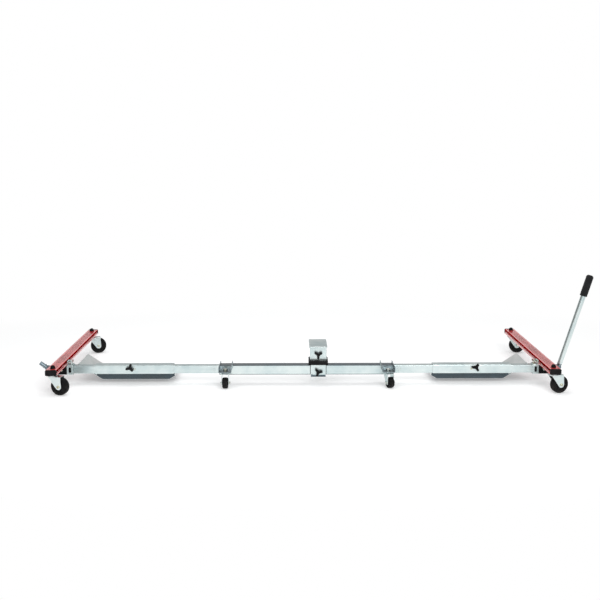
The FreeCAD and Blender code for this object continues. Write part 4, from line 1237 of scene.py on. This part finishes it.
class DOLLY_OT_stage(bpy.types.Operator):
    """Set up the pale floor, the softboxes, the white room and the camera"""

    bl_idname = "dolly.stage"
    bl_label = "Stage"

    def execute(self, context):
        stage = context.scene.dolly_stage
        context.scene.view_settings.view_transform = "Standard"
        self.floor(stage, context.scene.dolly_colours)
        self.room(stage)
        rail = node_middle("centre_tube")
        self.softbox("top_light", rail, TOP_PLACE, TOP_SIZE, stage.top_power)
        self.softbox("front_light", rail, FRONT_PLACE, FRONT_SIZE, stage.front_power)
        self.camera(stage, rail)
        return {"FINISHED"}

    def floor(self, stage, paint):
        """Wide floor that keeps the dolly's shadow, white to the eye and in mirrors. Its glow lights nothing."""
        floor = started("floor", bpy.ops.mesh.primitive_plane_add, size=FLOOR_SIZE)
        material = bpy.data.materials.new("pale floor")
        material.use_nodes = True
        tree = material.node_tree
        tree.nodes.clear()
        matt = add(tree, "BsdfDiffuse", {"Color": paint.floor}).outputs[0]
        glow = add(tree, "Emission", {"Color": WHITE, "Strength": stage.floor_glow}).outputs[0]
        lifted = add(tree, "AddShader", {0: matt, 1: glow}).outputs[0]
        white = add(tree, "Emission", {"Color": WHITE, "Strength": 1.0}).outputs[0]
        place = add(tree, "TexCoord").outputs["Object"]
        spread = add(tree, "Mapping", {"Vector": place, "Scale": (1.0, FADE_ACROSS, 1.0)}).outputs["Vector"]
        away = add(tree, "VectorMath", {0: spread}, operation="LENGTH").outputs["Value"]
        faded = mixed(tree, ranged(tree, away, FADE_START, FADE_END), lifted, white)
        path = add(tree, "LightPath").outputs
        seen = worked(tree, "MAXIMUM", path["Is Camera Ray"], path["Is Glossy Ray"])
        add(tree, "OutputMaterial", {"Surface": mixed(tree, seen, matt, faded)})
        floor.data.materials.append(material)

    def room(self, stage):
        """White room: even light, white to the eye, and darker overhead and aside where metal mirrors it."""
        world = bpy.data.worlds.new("white room")
        bpy.context.scene.world = world
        world.use_nodes = True
        tree = world.node_tree
        tree.nodes.clear()
        path = add(tree, "LightPath").outputs
        even = add(tree, "Background", {"Color": ROOM_TINT, "Strength": stage.sky}).outputs[0]
        white = add(tree, "Background", {"Color": WHITE, "Strength": 1.0}).outputs[0]
        way = add(tree, "SeparateXYZ", {"Vector": add(tree, "TexCoord").outputs["Generated"]}).outputs
        aside = add(tree, "Math", {0: way["X"]}, operation="ABSOLUTE").outputs[0]
        overhead = ranged(tree, way["Z"], 0.18, 0.62, 1.0, 0.15)
        flagged = ranged(tree, aside, 0.55, 0.8, 1.0, 0.25)
        mirrored = add(tree, "Background", {"Strength": worked(tree, "MULTIPLY", overhead, flagged)}).outputs[0]
        glossy = mixed(tree, path["Is Glossy Ray"], even, mirrored)
        add(tree, "OutputWorld", {"Surface": mixed(tree, path["Is Camera Ray"], glossy, white)})

    def softbox(self, name, rail, offset, size, power):
        """Rectangular soft light that points at the dolly."""
        aside, across, height = offset
        place = Vector((aside, rail.y + across, height))
        aim = Vector((0, rail.y, AIM_HEIGHT))
        bpy.ops.object.light_add(type="AREA", location=place)
        lamp = bpy.context.object
        lamp.name = name
        lamp.rotation_euler = (aim - place).to_track_quat("-Z", "Y").to_euler()
        lamp.data.shape = "RECTANGLE"
        lamp.data.size, lamp.data.size_y = size
        lamp.data.energy = power

    def camera(self, stage, rail):
        """Camera at the photograph's height, distance and angle."""
        bars = (node_middle("rear_crossbar").x + node_middle("front_crossbar").x) / 2
        place = (bars + stage.camera_aside, rail.y - stage.camera_back, stage.camera_height)
        turn = (math.pi / 2 - stage.camera_pitch, 0, -stage.camera_yaw)
        bpy.ops.object.camera_add(location=place, rotation=turn)
        camera = bpy.context.object
        camera.name = "camera"
        camera.data.lens = stage.camera_lens
        camera.data.sensor_width = SENSOR_WIDTH
        camera.data.sensor_fit = "HORIZONTAL"
        bpy.context.scene.camera = camera


OPERATORS = (DOLLY_OT_finishes, DOLLY_OT_rail, DOLLY_OT_brackets, DOLLY_OT_crossbars, DOLLY_OT_bar_trim,
             DOLLY_OT_bar_joints, DOLLY_OT_casters, DOLLY_OT_cradles, DOLLY_OT_knobs, DOLLY_OT_lever,
             DOLLY_OT_support, DOLLY_OT_stage)


class DOLLY_PT_panel(bpy.types.Panel):
    """Buttons for every step of the dolly's looks"""

    bl_idname = "DOLLY_PT_panel"
    bl_label = "Mover dolly"
    bl_space_type = "VIEW_3D"
    bl_region_type = "UI"
    bl_category = "Dolly"

    def draw(self, context):
        for operator in OPERATORS:
            self.layout.operator(operator.bl_idname)
        for group in (context.scene.dolly_sizes, context.scene.dolly_colours, context.scene.dolly_stage):
            column = self.layout.column()
            for name in group.bl_rna.properties.keys():
                if name not in ("rna_type", "name"):
                    column.prop(group, name)


GROUPS = (DollySizes, DollyColours, DollyStage)
CLASSES = GROUPS + OPERATORS + (DOLLY_PT_panel,)


def register():
    """Make the steps and their values known to Blender."""
    for each in CLASSES:
        bpy.utils.register_class(each)
    bpy.types.Scene.dolly_sizes = PointerProperty(type=DollySizes)
    bpy.types.Scene.dolly_colours = PointerProperty(type=DollyColours)
    bpy.types.Scene.dolly_stage = PointerProperty(type=DollyStage)


def unregister():
    """Take the steps and their values out again."""
    for name in ("dolly_sizes", "dolly_colours", "dolly_stage"):
        delattr(bpy.types.Scene, name)
    for each in reversed(CLASSES):
        bpy.utils.unregister_class(each)


def main():
    """Register the steps and run them in order."""
    register()
    bpy.ops.dolly.finishes()
    bpy.ops.dolly.rail()
    bpy.ops.dolly.brackets()
    bpy.ops.dolly.crossbars()
    bpy.ops.dolly.bar_trim()
    bpy.ops.dolly.bar_joints()
    bpy.ops.dolly.casters()
    bpy.ops.dolly.cradles()
    bpy.ops.dolly.knobs()
    bpy.ops.dolly.lever()
    bpy.ops.dolly.support()
    bpy.ops.dolly.stage()


if __name__ == "__main__":
    main()
